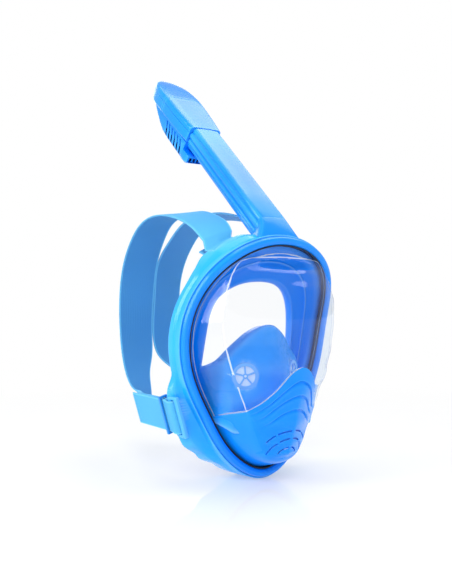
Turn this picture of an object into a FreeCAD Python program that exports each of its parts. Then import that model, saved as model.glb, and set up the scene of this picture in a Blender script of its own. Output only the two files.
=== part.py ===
import FreeCAD, Part
import math
import os
import Sketcher
from FreeCAD import Placement, Rotation, Vector

# Full-face snorkel mask, in millimetres.  X is across the face, Y runs back
# from the window to the wearer, Z is up.  The origin is on the small flat
# under the chin.  The snorkel leans back, so its pieces have a frame of their
# own: X across, Y through the tube from its front face, Z along the tube.

os.makedirs("parts", exist_ok=True)
doc = FreeCAD.newDocument("snorkel_mask")

DIMENSIONS = [
    ("seat_half_width", 82.5, "half width of the lens seat"),
    ("seat_top", 236.0, "height of the lens seat's top"),
    ("seat_bottom", 10.5, "height of the lens seat's bottom"),
    ("bezel_width", 10.5, "front bezel, seat to outer edge"),
    ("bezel_crown", 5.5, "how far the bezel stands in front of the seat"),
    ("flange_thickness", 2.5, "lens flange"),
    ("flange_reach", 8.0, "lens and skirt flanges, outside the seat line"),
    ("shell_thickness", 2.2, "lens and chin cover"),
    ("crease_setback", 32.0, "lens corner line, in front of the origin"),
    ("frame_wall", 2.5, "rear frame wall"),
    ("skirt_thickness", 2.5, "soft skirt"),
    ("pocket_thickness", 3.0, "soft nose and mouth pocket"),
    ("strap_width", 35.0, "head strap width"),
    ("strap_thickness", 2.0, "head strap thickness"),
    ("strap_gap", 0.8, "gap between the doubled strap's layers"),
    ("lug_bar_depth", 5.8, "strap bar, front to back"),
    ("lug_bar_thickness", 4.0, "strap bar, through the strap"),
    ("slider_length", 3.0, "strap slider along the strap"),
    ("slider_wall", 1.8, "strap slider bars"),
    ("inhale_opening", 9.8, "inhale valve opening radius"),
    ("inhale_recess", 11.3, "inhale valve recess radius"),
    ("inhale_outer", 13.0, "inhale valve seat outer radius"),
    ("inhale_disc", 10.9, "inhale valve disc radius"),
    ("drain_opening", 7.0, "drain valve opening radius"),
    ("drain_recess", 8.4, "drain valve recess radius"),
    ("drain_outer", 9.8, "drain valve seat outer radius"),
    ("drain_disc", 8.0, "drain valve disc radius"),
    ("valve_web", 1.5, "valve spoke thickness"),
    ("valve_rim", 2.5, "valve recess depth"),
    ("valve_spoke", 1.6, "valve spoke width"),
    ("valve_hub", 2.7, "valve hub radius"),
    ("valve_pin_hole", 1.25, "valve hub hole radius"),
    ("valve_pin", 1.15, "valve disc stem radius"),
    ("valve_disc_thickness", 0.8, "valve disc thickness"),
    ("tube_tilt", 48.0, "snorkel leans back from vertical, degrees"),
    ("tube_seam_setback", 19.0, "seam's front edge, in front of the origin"),
    ("tube_seam_height", 264.5, "seam's front edge height"),
    ("tube_width", 34.0, "snorkel tube width"),
    ("tube_depth", 27.0, "snorkel tube depth"),
    ("tube_length", 162.0, "snorkel tube, seam to cap"),
    ("tube_front_radius", 4.0, "tube front edge radius"),
    ("tube_rear_radius", 9.0, "tube rear edge radius"),
    ("bead_radius", 4.6, "wide side bead radius"),
    ("bead_small_radius", 2.8, "narrow side bead radius"),
    ("plug_length", 14.0, "tube plug in the neck"),
    ("plug_width", 29.0, "tube plug width"),
    ("plug_depth", 20.0, "tube plug depth"),
    ("plug_clearance", 0.3, "plug to socket gap on each side"),
    ("seal_height", 2.0, "tube seal height"),
    ("seal_groove", 0.9, "tube seal groove depth"),
    ("channel_width", 11.0, "middle air channel width"),
    ("side_channel_width", 3.0, "side air channel width"),
    ("cap_seam", 228.0, "cap lid seam, along the tube"),
    ("cap_foot_width", 40.0, "cap width at its foot"),
    ("cap_width", 47.4, "cap width at the lid seam"),
    ("cap_depth", 20.0, "cap depth"),
    ("cap_wall", 2.0, "cap wall"),
    ("cap_tip", 294.0, "cap tip, along the tube"),
    ("housing_width", 38.0, "vent housing width"),
    ("float_radius", 5.6, "float radius"),
    ("float_length", 22.0, "float length"),
    ("float_travel", 6.0, "float travel"),
    ("seat_opening", 3.8, "float seat opening radius"),
    ("screw_shank", 1.05, "frame screw shank radius"),
    ("screw_head", 2.4, "frame screw head radius"),
    ("screw_head_height", 1.6, "frame screw head height"),
]


def make_sheet():
    cells = doc.addObject("Spreadsheet::Sheet", "Dims")
    for row, (alias, value, note) in enumerate(DIMENSIONS, 1):
        cells.set("A%d" % row, note)
        cells.set("B%d" % row, str(value))
        cells.setAlias("B%d" % row, alias)
    doc.recompute()
    return cells


sheet = make_sheet()


def size(alias):
    return float(sheet.get(alias))


class Dim:
    """A length that knows its value and the expression that gives it."""

    def __init__(self, alias=None, value=None, text=None):
        self.value = size(alias) if alias else value
        self.text = "Dims." + alias if alias else text

    def join(self, other, sign, result):
        other_text = other.text if isinstance(other, Dim) else repr(float(other))
        return Dim(value=result, text="(%s %s %s)" % (self.text, sign, other_text))

    def __add__(self, other):
        return self.join(other, "+", self.value + number(other))

    def __sub__(self, other):
        return self.join(other, "-", self.value - number(other))

    def __mul__(self, other):
        return self.join(other, "*", self.value * number(other))

    def __truediv__(self, other):
        return self.join(other, "/", self.value / number(other))


def number(thing):
    return thing.value if isinstance(thing, Dim) else float(thing)


# ---------------------------------------------------------------- features

sub_parts = []


def sub_part(obj, label):
    obj.Label = label
    sub_parts.append(obj)
    return obj


def shape_part(label, shape):
    obj = doc.addObject("Part::Feature", label + "_shape")
    obj.Shape = shape
    return sub_part(obj, label)


def new_body(label, placement=Placement()):
    body = doc.addObject("PartDesign::Body", label + "_body")
    body.Placement = placement
    return sub_part(body, label)


def origin_feature(body, role):
    return next(f for f in body.Origin.OriginFeatures if f.Role == role)


def new_sketch(body, name, height=0.0, tilt=0.0, forward=0.0):
    sketch = body.newObject("Sketcher::SketchObject", name)
    sketch.AttachmentSupport = (origin_feature(body, "XY_Plane"), [""])
    sketch.MapMode = "FlatFace"
    offset = Vector(0, forward, number(height))
    sketch.AttachmentOffset = Placement(offset, Rotation(Vector(1, 0, 0), tilt))
    if isinstance(height, Dim):
        sketch.setExpression("AttachmentOffset.Base.z", height.text)
    return sketch


def constrain(sketch, arguments, length):
    index = sketch.addConstraint(Sketcher.Constraint(*arguments, number(length)))
    if isinstance(length, Dim):
        sketch.setExpression("Constraints[%d]" % index, length.text)


def place_point(sketch, geometry, point, x, y):
    if abs(number(x)) < 1e-6:
        sketch.addConstraint(Sketcher.Constraint("PointOnObject", geometry, point, -2))
    else:
        constrain(sketch, ("DistanceX", -1, 1, geometry, point), x)
    if abs(number(y)) < 1e-6:
        sketch.addConstraint(Sketcher.Constraint("PointOnObject", geometry, point, -1))
    else:
        constrain(sketch, ("DistanceY", -1, 1, geometry, point), y)


def circle(sketch, radius, x=0.0, y=0.0):
    centre = Vector(number(x), number(y), 0)
    index = sketch.addGeometry(Part.Circle(centre, Vector(0, 0, 1), number(radius)))
    constrain(sketch, ("Radius", index), radius)
    place_point(sketch, index, 3, x, y)


def rectangle(sketch, x, y, width, depth):
    """A rectangle with its lowest corner at x, y."""
    left, low = number(x), number(y)
    right, high = left + number(width), low + number(depth)
    corners = [Vector(left, low, 0), Vector(right, low, 0),
               Vector(right, high, 0), Vector(left, high, 0)]
    first = sketch.GeometryCount
    for k in range(4):
        sketch.addGeometry(Part.LineSegment(corners[k], corners[(k + 1) % 4]))
    for k in range(4):
        joint = ("Coincident", first + k, 2, first + (k + 1) % 4, 1)
        sketch.addConstraint(Sketcher.Constraint(*joint))
    for k, kind in enumerate(("Horizontal", "Vertical", "Horizontal", "Vertical")):
        sketch.addConstraint(Sketcher.Constraint(kind, first + k))
    constrain(sketch, ("DistanceX", first, 1, first, 2), width)
    constrain(sketch, ("DistanceY", first + 1, 1, first + 1, 2), depth)
    place_point(sketch, first, 1, x, y)


def centred_rectangle(sketch, width, front, depth):
    rectangle(sketch, width * -0.5, front, width, depth)


def rounded_section(sketch, width, front, depth, radius):
    """A rounded rectangle, centred across, that starts at front."""
    half = number(width) / 2
    low, high, r = number(front), number(front) + number(depth), number(radius)
    first = sketch.GeometryCount
    arcs = [(half - r, low + r, -90), (half - r, high - r, 0),
            (r - half, high - r, 90), (r - half, low + r, 180)]
    lines = [((r - half, low), (half - r, low)), ((half, low + r), (half, high - r)),
             ((half - r, high), (r - half, high)), ((-half, high - r), (-half, low + r))]
    for (start, end), (cx, cy, angle) in zip(lines, arcs):
        sketch.addGeometry(Part.LineSegment(Vector(*start, 0), Vector(*end, 0)))
        round_edge = Part.Circle(Vector(cx, cy, 0), Vector(0, 0, 1), r)
        begin = math.radians(angle)
        sketch.addGeometry(Part.ArcOfCircle(round_edge, begin, begin + math.pi / 2))
    for k in range(8):
        joint = ("Tangent", first + k, 2, first + (k + 1) % 8, 1)
        sketch.addConstraint(Sketcher.Constraint(*joint))
    for k, kind in ((2, "Vertical"), (4, "Horizontal"), (6, "Vertical")):
        sketch.addConstraint(Sketcher.Constraint(kind, first + k))
    for k in (3, 5):
        sketch.addConstraint(Sketcher.Constraint("Equal", first + 1, first + k))
    sketch.addConstraint(Sketcher.Constraint("Symmetric", first, 1, first, 2, -2))
    constrain(sketch, ("Radius", first + 1), radius)
    constrain(sketch, ("DistanceX", first + 6, 1, first + 2, 1), width)
    constrain(sketch, ("DistanceY", first, 1, first + 4, 1), depth)
    if abs(low) < 1e-6:
        sketch.addConstraint(Sketcher.Constraint("PointOnObject", first, 1, -1))
    else:
        constrain(sketch, ("DistanceY", -1, 1, first, 1), front)


def pad(body, name, sketch, length, downward=False):
    feature = body.newObject("PartDesign::Pad", name)
    feature.Profile = sketch
    feature.Length = number(length)
    if isinstance(length, Dim):
        feature.setExpression("Length", length.text)
    feature.Reversed = downward
    sketch.Visibility = False
    return feature


def pocket(body, name, sketch, length, upward=False):
    """Cut downwards from the sketch, or upwards; the solid has to get smaller."""
    doc.recompute()
    before = body.Shape.Volume
    feature = body.newObject("PartDesign::Pocket", name)
    feature.Profile = sketch
    feature.Length = number(length)
    if isinstance(length, Dim):
        feature.setExpression("Length", length.text)
    feature.Reversed = upward
    doc.recompute()
    if not body.Shape.Volume < before - 1e-3:
        raise RuntimeError("%s cuts nothing" % name)
    return feature


def spin(body, feature, count):
    pattern = body.newObject("PartDesign::PolarPattern", feature.Name + "_ring")
    pattern.Originals = [feature]
    pattern.Axis = (origin_feature(body, "Z_Axis"), [""])
    pattern.Angle = 360
    pattern.Occurrences = count
    body.Tip = pattern
    return pattern


def loft(body, name, sections):
    feature = body.newObject("PartDesign::AdditiveLoft", name)
    feature.Profile = sections[0]
    feature.Sections = sections[1:]
    feature.Ruled = False
    return feature


def round_edges(body, base, radius, wanted):
    """Fillet the straight edges along Z that wanted(x, y) picks."""
    doc.recompute()
    names = []
    for k, edge in enumerate(base.Shape.Edges, 1):
        middle = edge.CenterOfMass
        direction = edge.tangentAt(edge.FirstParameter)
        if abs(direction.z) > 0.999 and wanted(middle.x, middle.y):
            names.append("Edge%d" % k)
    fillet = body.newObject("PartDesign::Fillet", base.Name + "_round")
    fillet.Base = (base, names)
    fillet.Radius = number(radius)
    fillet.setExpression("Radius", radius.text)
    return fillet


# ---------------------------------------------------------------- rim curves

def between(knots, place):
    """A smooth value between knots of (place, value), flat outside them."""
    if place <= knots[0][0]:
        return knots[0][1]
    for (low, first), (high, last) in zip(knots, knots[1:]):
        if place <= high:
            share = (place - low) / (high - low)
            return first + (last - first) * share * share * (3 - 2 * share)
    return knots[-1][1]


# Right half of the lens seat, top to bottom: share of the half width,
# distance behind the origin, share of the height.
SEAT_SHAPE = [(0.0, -34.0, 1.0), (0.461, -31.0, 0.9645), (0.848, -16.0, 0.849),
              (1.0, 5.0, 0.663), (0.945, 12.0, 0.4545), (0.715, 10.0, 0.2594),
              (0.4, 2.0, 0.073), (0.0, -2.0, 0.0)]
RIM_STATIONS = 25


def seat_points():
    low, high = size("seat_bottom"), size("seat_top")
    width = size("seat_half_width")
    return [Vector(width * a, y, low + (high - low) * c) for a, y, c in SEAT_SHAPE]


def mirrored_loop(right_half):
    left_half = [Vector(-p.x, p.y, p.z) for p in right_half[1:-1]]
    loop = Part.BSplineCurve()
    loop.interpolate(Points=right_half + left_half[::-1], PeriodicFlag=True)
    return loop


def rim_stations(right_half, count=RIM_STATIONS):
    """Points down the right half of a closed rim, each with its outward normal."""
    curve = mirrored_loop(right_half)
    first = curve.FirstParameter
    last = curve.parameter(right_half[-1])
    stations = []
    for point in curve.discretize(Number=count, First=first, Last=last):
        tangent = curve.tangent(curve.parameter(point))[0]
        normal = Vector(-tangent.z, 0, tangent.x)
        stations.append((point, normal.normalize()))
    top, bottom = stations[0][0], stations[-1][0]
    stations[0] = (Vector(0, top.y, top.z), Vector(0, 0, 1))
    stations[-1] = (Vector(0, bottom.y, bottom.z), Vector(0, 0, -1))
    return stations


seat = rim_stations(seat_points())

# Front faces of the clamped flanges, behind the seat line.
LENS_SEAT, SKIRT_SEAT, FRAME_SEAT = 3.3, 6.0, 8.8
CLAMP_GAP = 0.2


def mirrored(shape):
    return shape.mirror(Vector(0, 0, 0), Vector(1, 0, 0))


def both_halves(sections, ruled=False):
    wires = [Part.makePolygon(points + points[:1]) for points in sections]
    half = Part.makeLoft(wires, True, ruled)
    return half.fuse(mirrored(half)).removeSplitter()


def rim_ring(profile):
    """A ring along the lens seat; profile(point) gives (outward, back) pairs."""
    sections = []
    for point, normal in seat:
        offsets = profile(point)
        sections.append([point + normal * n + Vector(0, y, 0) for n, y in offsets])
    return both_halves(sections)


# ---------------------------------------------------------------- lens shell

# Front ridge of window and chin: height, distance in front of the origin.
RIDGE = [(16.0, 29.0), (24.0, 34.0), (34.0, 43.5), (45.0, 47.5), (67.0, 55.0),
         (101.0, 62.5), (122.0, 65.0), (165.0, 66.0), (190.0, 61.0), (205.0, 53.0),
         (224.0, 33.0)]
# Half width of the window's corner line at each height.
CREASE = [(14.0, 16.0), (30.0, 22.0), (50.0, 33.0), (75.0, 43.0), (86.0, 47.7),
          (110.0, 59.5), (135.0, 66.1), (159.0, 69.2), (180.0, 70.0), (196.0, 65.0),
          (208.0, 58.7), (218.0, 51.5)]
CREASE_SHAPE = [(0.0, 224.0), (30.0, 223.0), (50.0, 219.0), (61.0, 204.0),
                (70.0, 176.0), (66.5, 135.0), (47.7, 86.0), (33.0, 50.0),
                (19.0, 27.0), (0.0, 22.0)]


def shell_front(x, z):
    """How far the outer face of window or chin lies in front of the origin."""
    setback = size("crease_setback")
    height = between(RIDGE, z) - setback
    power = between([(70.0, 1.35), (120.0, 2.0)], z)
    share = min(abs(x) / between(CREASE, z), 1.25)
    return setback + height * (1 - share ** power)


def crease_points():
    return [Vector(x, -shell_front(x, z), z) for x, z in CREASE_SHAPE]


FRONT_STEPS = 5
RIDGE_TOP, RIDGE_BOTTOM = 219.0, 27.0
WALL_SETBACK = 1.3


def front_line(corner, share):
    """Front-view points from the corner line across to the ridge."""
    even = RIDGE_TOP - (RIDGE_TOP - RIDGE_BOTTOM) * share
    low, high = CREASE_SHAPE[-1][1], CREASE_SHAPE[0][1]
    level = RIDGE_BOTTOM + (RIDGE_TOP - RIDGE_BOTTOM) * (corner.z - low) / (high - low)
    ridge = 0.75 * level + 0.25 * even
    steps = [k / FRONT_STEPS for k in range(1, FRONT_STEPS + 1)]
    return [(corner.x * (1 - s), corner.z + (ridge - corner.z) * s) for s in steps]


def make_shell():
    """Window and chin in one: rim flange, side wall, then the bowed front."""
    thick = size("shell_thickness")
    back = Vector(0, thick, 0)
    reach = size("flange_reach")
    flange_front = Vector(0, LENS_SEAT, 0)
    flange_back = flange_front + Vector(0, size("flange_thickness"), 0)
    corners = rim_stations(crease_points())
    sections = []
    for k, ((rim, out), (corner, across)) in enumerate(zip(seat, corners)):
        front = [Vector(x, -shell_front(x, z), z)
                 for x, z in front_line(corner, k / (RIM_STATIONS - 1))]
        outside = [rim + out * n + flange_front for n in (reach, -WALL_SETBACK)]
        inside = [rim + out * n + flange_back for n in (-WALL_SETBACK - thick, reach)]
        inner_corner = corner - across * thick + back * 0.6
        inner_front = [p + back for p in reversed(front)]
        sections.append(outside + [corner] + front + inner_front + [inner_corner] + inside)
    return both_halves(sections, ruled=True)


# Left half of the wavy line between chin cover and window: across, height.
CHIN_WAVE = [(0.0, 118.0), (9.0, 114.5), (20.0, 102.0), (31.0, 86.0), (42.0, 76.5),
             (62.0, 71.5), (95.0, 68.0)]
CHIN_SEAM = 0.3
IN_FRONT, CUT_DEPTH = -100.0, 140.0


def chin_region(lift):
    """Everything below the wavy line between chin cover and window."""
    one_side = [Vector(x, IN_FRONT, z + lift) for x, z in CHIN_WAVE]
    other_side = [Vector(-p.x, p.y, p.z) for p in one_side[1:]]
    line = Part.BSplineCurve()
    line.interpolate(other_side[::-1] + one_side)
    start, end = line.StartPoint, line.EndPoint
    below = -20.0
    floor = [end, Vector(end.x, IN_FRONT, below), Vector(start.x, IN_FRONT, below), start]
    outline = Part.Wire([line.toShape()] + Part.makePolygon(floor).Edges)
    return Part.Face(outline).extrude(Vector(0, CUT_DEPTH, 0))


VENT_CENTRE = Vector(0, -75, 27)
VENT_HALF_WIDTH = 0.7
VENT_CUT = 70.0
# Vent slots round the drain: radius, first angle, last angle.
VENT_SLOTS = [(12.0, 30, 80), (12.0, 100, 150),
              (21.0, 15, 50), (21.0, 58, 84), (21.0, 96, 122), (21.0, 130, 165),
              (29.0, 24, 52), (29.0, 60, 85), (29.0, 95, 120), (29.0, 128, 156)]


def vent_slot(radius, first, last):
    """One curved slot: a thin ring, kept between two angles."""
    back = Vector(0, 1, 0)
    tool = Part.makeCylinder(radius + VENT_HALF_WIDTH, VENT_CUT, VENT_CENTRE, back)
    core = Part.makeCylinder(radius - VENT_HALF_WIDTH, VENT_CUT, VENT_CENTRE, back)
    reach = radius * 1.5
    edge = [VENT_CENTRE]
    for share in (0, 0.5, 1):
        angle = math.radians(first + (last - first) * share)
        edge.append(VENT_CENTRE + Vector(math.cos(angle), 0, math.sin(angle)) * reach)
    wedge = Part.Face(Part.makePolygon(edge + edge[:1])).extrude(back * VENT_CUT)
    return tool.cut(core).common(wedge)


# ---------------------------------------------------------------- screws

SCREW_HEIGHTS = (200.0, 156.0, 120.0, 36.0)
SCREW_OUTWARD = 5.0
SCREW_TIP, SCREW_SEAT = -1.2, 11.4
DRIVE_LENGTH, DRIVE_WIDTH, DRIVE_DEPTH = 3.0, 0.6, 0.6


def screw_places():
    """Screw axes on the rim flange, on both sides."""
    places = []
    for height in SCREW_HEIGHTS:
        point, normal = min(seat, key=lambda s: abs(s[0].z - height))
        place = point + normal * SCREW_OUTWARD
        places += [place, Vector(-place.x, place.y, place.z)]
    return places


def screw_holes(radius, start, end):
    return [Part.makeCylinder(radius, end - start, place + Vector(0, start, 0), Vector(0, 1, 0))
            for place in screw_places()]


def flange_holes():
    """Clearance holes through the clamped flanges."""
    return screw_holes(size("screw_shank") + 0.55, 0, 12)


def make_screws():
    head, shank = size("screw_head"), size("screw_shank")
    screws = []
    back = Vector(0, 1, 0)
    height = size("screw_head_height")
    for place in screw_places():
        shaft = Part.makeCylinder(shank, SCREW_SEAT - SCREW_TIP, place + back * SCREW_TIP, back)
        cap = Part.makeCylinder(head, height, place + back * SCREW_SEAT, back)
        corner = Vector(-DRIVE_LENGTH / 2, SCREW_SEAT + height - DRIVE_DEPTH, -DRIVE_WIDTH / 2)
        drive = Part.makeBox(DRIVE_LENGTH, DRIVE_DEPTH, DRIVE_WIDTH, place + corner)
        screws.append(shaft.fuse(cap).cut(drive))
    return Part.makeCompound(screws)


# ---------------------------------------------------------------- strap lugs

class Lug:
    """A strap bar: its centre, the strap's width direction and outward normal."""

    def __init__(self, centre, across, outward):
        self.centre = centre
        self.across = across.normalize()
        self.outward = outward.normalize()

    def at(self, back, out, across=0.0):
        return self.centre + Vector(0, back, 0) + self.outward * out + self.across * across

    def block(self, back, out, across):
        """A box between the given pairs of local limits."""
        corner = self.at(back[0], out[0], across[0])
        base = [corner, self.at(back[1], out[0], across[0]),
                self.at(back[1], out[1], across[0]), self.at(back[0], out[1], across[0])]
        face = Part.Face(Part.makePolygon(base + base[:1]))
        return face.extrude(self.across * (across[1] - across[0]))


lower_lug = Lug(Vector(-84.5, 31.0, 66.75), Vector(0.286, 0, -0.958), Vector(-0.958, 0, -0.286))
upper_lug = Lug(Vector(-47.5, -2.0, 236.5), Vector(0.905, 0, 0.425), Vector(-0.425, 0, 0.905))
SLOT_HALF = 18.6
EAR = 5.0
SLOT_DEPTH = 4.8


def lug_clearance(lug):
    """The room that strap and slot need in the frame wall."""
    front = -size("lug_bar_depth") / 2 - SLOT_DEPTH
    return lug.block((front, 60.0), (-12.0, 12.0), (-SLOT_HALF, SLOT_HALF))


def lug_bar(lug):
    half_depth = size("lug_bar_depth") / 2
    half = size("lug_bar_thickness") / 2
    reach = SLOT_HALF + EAR
    bar = lug.block((-half_depth, half_depth), (-half, half), (-reach, reach))
    ears = [lug.block((-half_depth - SLOT_DEPTH - 5, half_depth), (-half, half), span)
            for span in ((-reach, -SLOT_HALF), (SLOT_HALF, reach))]
    return bar.fuse(ears)


# ---------------------------------------------------------------- mask shells

def bezel_profile(point):
    width, crown = size("bezel_width"), size("bezel_crown")
    return [(0.0, -1.5), (0.18 * width, 1.5 - crown), (0.5 * width, -crown),
            (0.84 * width, 1.0 - crown), (width, -1.0), (width, 8.0),
            (width - 2, 8.0), (width - 2, 3.0), (0.0, 3.0)]


def gasket_profile(point):
    """A thin strip between the bezel's inner edge and the window's wall."""
    inner, outer = -WALL_SETBACK + CLAMP_GAP, -CLAMP_GAP / 2
    return [(inner, -0.5), (outer, -0.5), (outer, LENS_SEAT - CLAMP_GAP),
            (inner, LENS_SEAT - CLAMP_GAP)]


# Rear frame wall at each height: how far back it runs, how far it flares.
FRAME_DEPTH = [(10.0, 34.0), (30.0, 32.0), (50.0, 24.5), (86.0, 24.5), (100.0, 22.0),
               (115.0, 17.0), (190.0, 18.0), (215.0, 27.0), (228.0, 27.0),
               (236.0, 24.0)]
FRAME_FLARE = [(10.0, 0.0), (28.0, 1.5), (52.0, 19.0), (60.0, 18.5), (72.0, 15.5),
               (93.0, 12.5), (114.0, 2.2), (204.0, 2.2), (215.0, 5.5), (231.0, 5.5),
               (236.0, 1.5)]
FRAME_INNER = 2.0


def frame_profile(point):
    """Flange behind the skirt, then a wall that runs back and flares at the lugs."""
    wall = size("frame_wall")
    outer = size("bezel_width")
    flare = between(FRAME_FLARE, point.z)
    depth = between(FRAME_DEPTH, point.z)
    middle = FRAME_SEAT + 0.3 * (depth - FRAME_SEAT)
    bend = outer + 0.7 * flare
    return [(FRAME_INNER, FRAME_SEAT), (outer, FRAME_SEAT), (bend, middle), (outer + flare, depth),
            (outer + flare - wall, depth), (bend - wall, middle + 1.0),
            (outer - wall, FRAME_SEAT + wall), (FRAME_INNER, FRAME_SEAT + wall)]


def chin_flat():
    """Everything under the resting plane."""
    return Part.makeBox(300, 300, 60, Vector(-150, -120, -60))


# Right half of the face opening: across, behind the origin, height.
OPENING_SHAPE = [(0.0, 5.0, 200.0), (26.0, 8.0, 196.0), (46.0, 17.0, 180.0),
                 (53.0, 23.0, 150.0), (55.0, 31.0, 112.0), (52.0, 40.0, 79.0),
                 (34.0, 33.0, 46.0), (0.0, 22.0, 34.0)]


SKIRT_INNER = 2.0
LIP_FLARE, LIP_DEPTH = 11.0, 15.0


def make_skirt():
    """Flange under the lens, soft wall in to the face opening, then the sealing lip."""
    thick = size("skirt_thickness")
    reach = size("flange_reach")
    front = Vector(0, SKIRT_SEAT, 0)
    through = Vector(0, thick, 0)
    opening = rim_stations([Vector(*p) for p in OPENING_SHAPE])
    sections = []
    for (rim, normal), (edge, edge_normal) in zip(seat, opening):
        flange = [rim + normal * reach + front, rim - normal * SKIRT_INNER + front]
        lip = edge + edge_normal * LIP_FLARE + Vector(0, LIP_DEPTH, 0)
        back = [lip + edge_normal * thick, edge + edge_normal * 1.6 * thick + through]
        root = [rim - normal * (SKIRT_INNER - 1) + front + through,
                rim + normal * reach + front + through]
        sections.append(flange + [edge, lip] + back + root)
    return both_halves(sections, ruled=True).cut(Part.makeCompound(flange_holes()))


# ---------------------------------------------------------------- pocket

POCKET_RIDGE = [(60.0, -35.0), (80.0, -33.0), (107.0, -27.0), (135.0, -19.0), (160.0, -14.0)]
POCKET_ARCH = [(0.0, 157.0), (20.0, 147.0), (40.0, 124.0), (60.0, 101.0)]


def pocket_front(x, z):
    """Distance behind the origin of the pocket's two slanted cheeks."""
    return between(POCKET_RIDGE, z) + 0.7 * (math.hypot(x, 14.0) - 14.0)


def pocket_top(x):
    return between(POCKET_ARCH, abs(x))


def pocket_foot(x):
    return 72.0 + max(0.0, abs(x) - 36.0) * 1.05


def make_pocket():
    thick = size("pocket_thickness")
    columns = [-60.0 + 7.5 * k for k in range(17)]
    rows = []
    for share in (0.0, 0.2, 0.4, 0.6, 0.8, 1.0):
        row = []
        for x in columns:
            z = pocket_foot(x) + share * (pocket_top(x) - pocket_foot(x))
            row.append(Vector(x, pocket_front(x, z), z))
        rows.append(row)
    surface = Part.BSplineSurface()
    surface.interpolate(rows)
    panel = surface.toShape().extrude(Vector(0, thick, 0))
    strips = []
    for x in columns[1:-1]:
        y, z = pocket_front(x, pocket_top(x)), pocket_top(x)
        corners = [(y + 0.4, z - 0.4), (y + 18, z - 1.5), (y + 18, z - 1.5 - thick),
                   (y + 0.4, z - 0.4 - thick)]
        strips.append(Part.makePolygon([Vector(x, a, b) for a, b in corners + corners[:1]]))
    body = panel.fuse(Part.makeLoft(strips, True, True))
    for side in (-1, 1):
        place = valve_placement(side)
        hole = Part.makeCylinder(size("inhale_outer") + 0.15, 24)
        hole.Placement = place
        hole.Placement.Base = place.multVec(Vector(0, 0, -12))
        body = body.cut(hole)
    return body


VALVE_X, VALVE_Z = 30.0, 107.0


def valve_placement(side):
    """Inhale valve frame: its Z points back, square to the pocket's cheek."""
    x = side * VALVE_X
    slope = (pocket_front(x + 1, VALVE_Z) - pocket_front(x - 1, VALVE_Z)) / 2
    lean = (pocket_front(x, VALVE_Z + 1) - pocket_front(x, VALVE_Z - 1)) / 2
    middle = pocket_front(x, VALVE_Z) + size("pocket_thickness") / 2
    back = Vector(-slope, 1, -lean)
    return Placement(Vector(x, middle, VALVE_Z), Rotation(Vector(0, 0, 1), back))


DRAIN_CENTRE = Vector(0, -27.5, 31.0)
DRAIN_OUT = Vector(0, -0.72, -0.694)


def drain_placement():
    return Placement(DRAIN_CENTRE, Rotation(Vector(0, 0, 1), DRAIN_OUT))


# ---------------------------------------------------------------- valves

def make_valve_seat(label, kind, place):
    """A ring with five spokes, a hub with a pin hole, and a recess for the disc."""
    body = new_body(label, place)
    web, rim = Dim("valve_web"), Dim("valve_rim")
    outer, hub = Dim(kind + "_outer"), Dim("valve_hub")
    ring = new_sketch(body, label + "_ring", web * -1)
    circle(ring, outer)
    circle(ring, Dim(kind + "_opening"))
    pad(body, label + "_ring_pad", ring, web)
    wall = new_sketch(body, label + "_wall")
    circle(wall, outer)
    circle(wall, Dim(kind + "_recess"))
    pad(body, label + "_wall_pad", wall, rim)
    spoke = new_sketch(body, label + "_spoke", web * -1)
    length = Dim(kind + "_opening") - 0.8
    rectangle(spoke, Dim("valve_spoke") * -0.5, 1.6, Dim("valve_spoke"), length)
    arm = pad(body, label + "_spoke_pad", spoke, web)
    spin(body, arm, 5)
    boss = new_sketch(body, label + "_hub", web * -1)
    circle(boss, hub)
    pad(body, label + "_hub_pad", boss, web)
    bore = new_sketch(body, label + "_bore")
    circle(bore, Dim("valve_pin_hole"))
    pocket(body, label + "_bore_cut", bore, web)


def make_valve_disc(label, kind, place):
    body = new_body(label, place)
    disc = new_sketch(body, label + "_disc", 0.05)
    circle(disc, Dim(kind + "_disc"))
    pad(body, label + "_disc_pad", disc, Dim("valve_disc_thickness"))
    stem = new_sketch(body, label + "_stem", 0.3)
    circle(stem, Dim("valve_pin"))
    pad(body, label + "_stem_pad", stem, Dim("valve_web") + 0.7, downward=True)


# ---------------------------------------------------------------- snorkel

def snorkel_placement():
    seam = Vector(0, -size("tube_seam_setback"), size("tube_seam_height"))
    return Placement(seam, Rotation(Vector(1, 0, 0), -size("tube_tilt")))


NECK_FOOT_HEIGHT, NECK_FOOT_BACK = 241.0, -14.0


def make_neck():
    """Flared socket: a wide foot on the frame, the tube's section at the seam."""
    body = doc.addObject("PartDesign::Body", "neck_blank")
    body.Placement = snorkel_placement()
    tilt = size("tube_tilt")
    rise = NECK_FOOT_HEIGHT - size("tube_seam_height")
    drop = math.sin(math.radians(tilt))
    fall = math.cos(math.radians(tilt))
    start = NECK_FOOT_BACK + size("tube_seam_setback")
    foot = new_sketch(body, "neck_foot", start * drop + rise * fall, tilt,
                      start * fall - rise * drop)
    width, depth = Dim("tube_width") + 25, Dim("tube_depth") + 11
    rounded_section(foot, width, -26.0, depth, Dim("tube_front_radius"))
    top = new_sketch(body, "neck_top", -0.25)
    rounded_section(top, Dim("tube_width"), 0.0, Dim("tube_depth"), Dim("tube_front_radius"))
    loft(body, "neck_loft", [foot, top])
    return body


def plug_room(name, below):
    """The socket's box, from some way below the seam to clear above it."""
    gap = size("plug_clearance")
    width, depth = size("plug_width") + 2 * gap, size("plug_depth") + 2 * gap
    front = (size("tube_depth") - depth) / 2
    room = doc.addObject("Part::Box", name)
    room.setExpression("Length", "Dims.plug_width + 2 * Dims.plug_clearance")
    room.setExpression("Width", "Dims.plug_depth + 2 * Dims.plug_clearance")
    room.Height = below + 10
    corner = snorkel_placement().multVec(Vector(-width / 2, front, -below))
    room.Placement = Placement(corner, snorkel_placement().Rotation)
    return room


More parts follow.
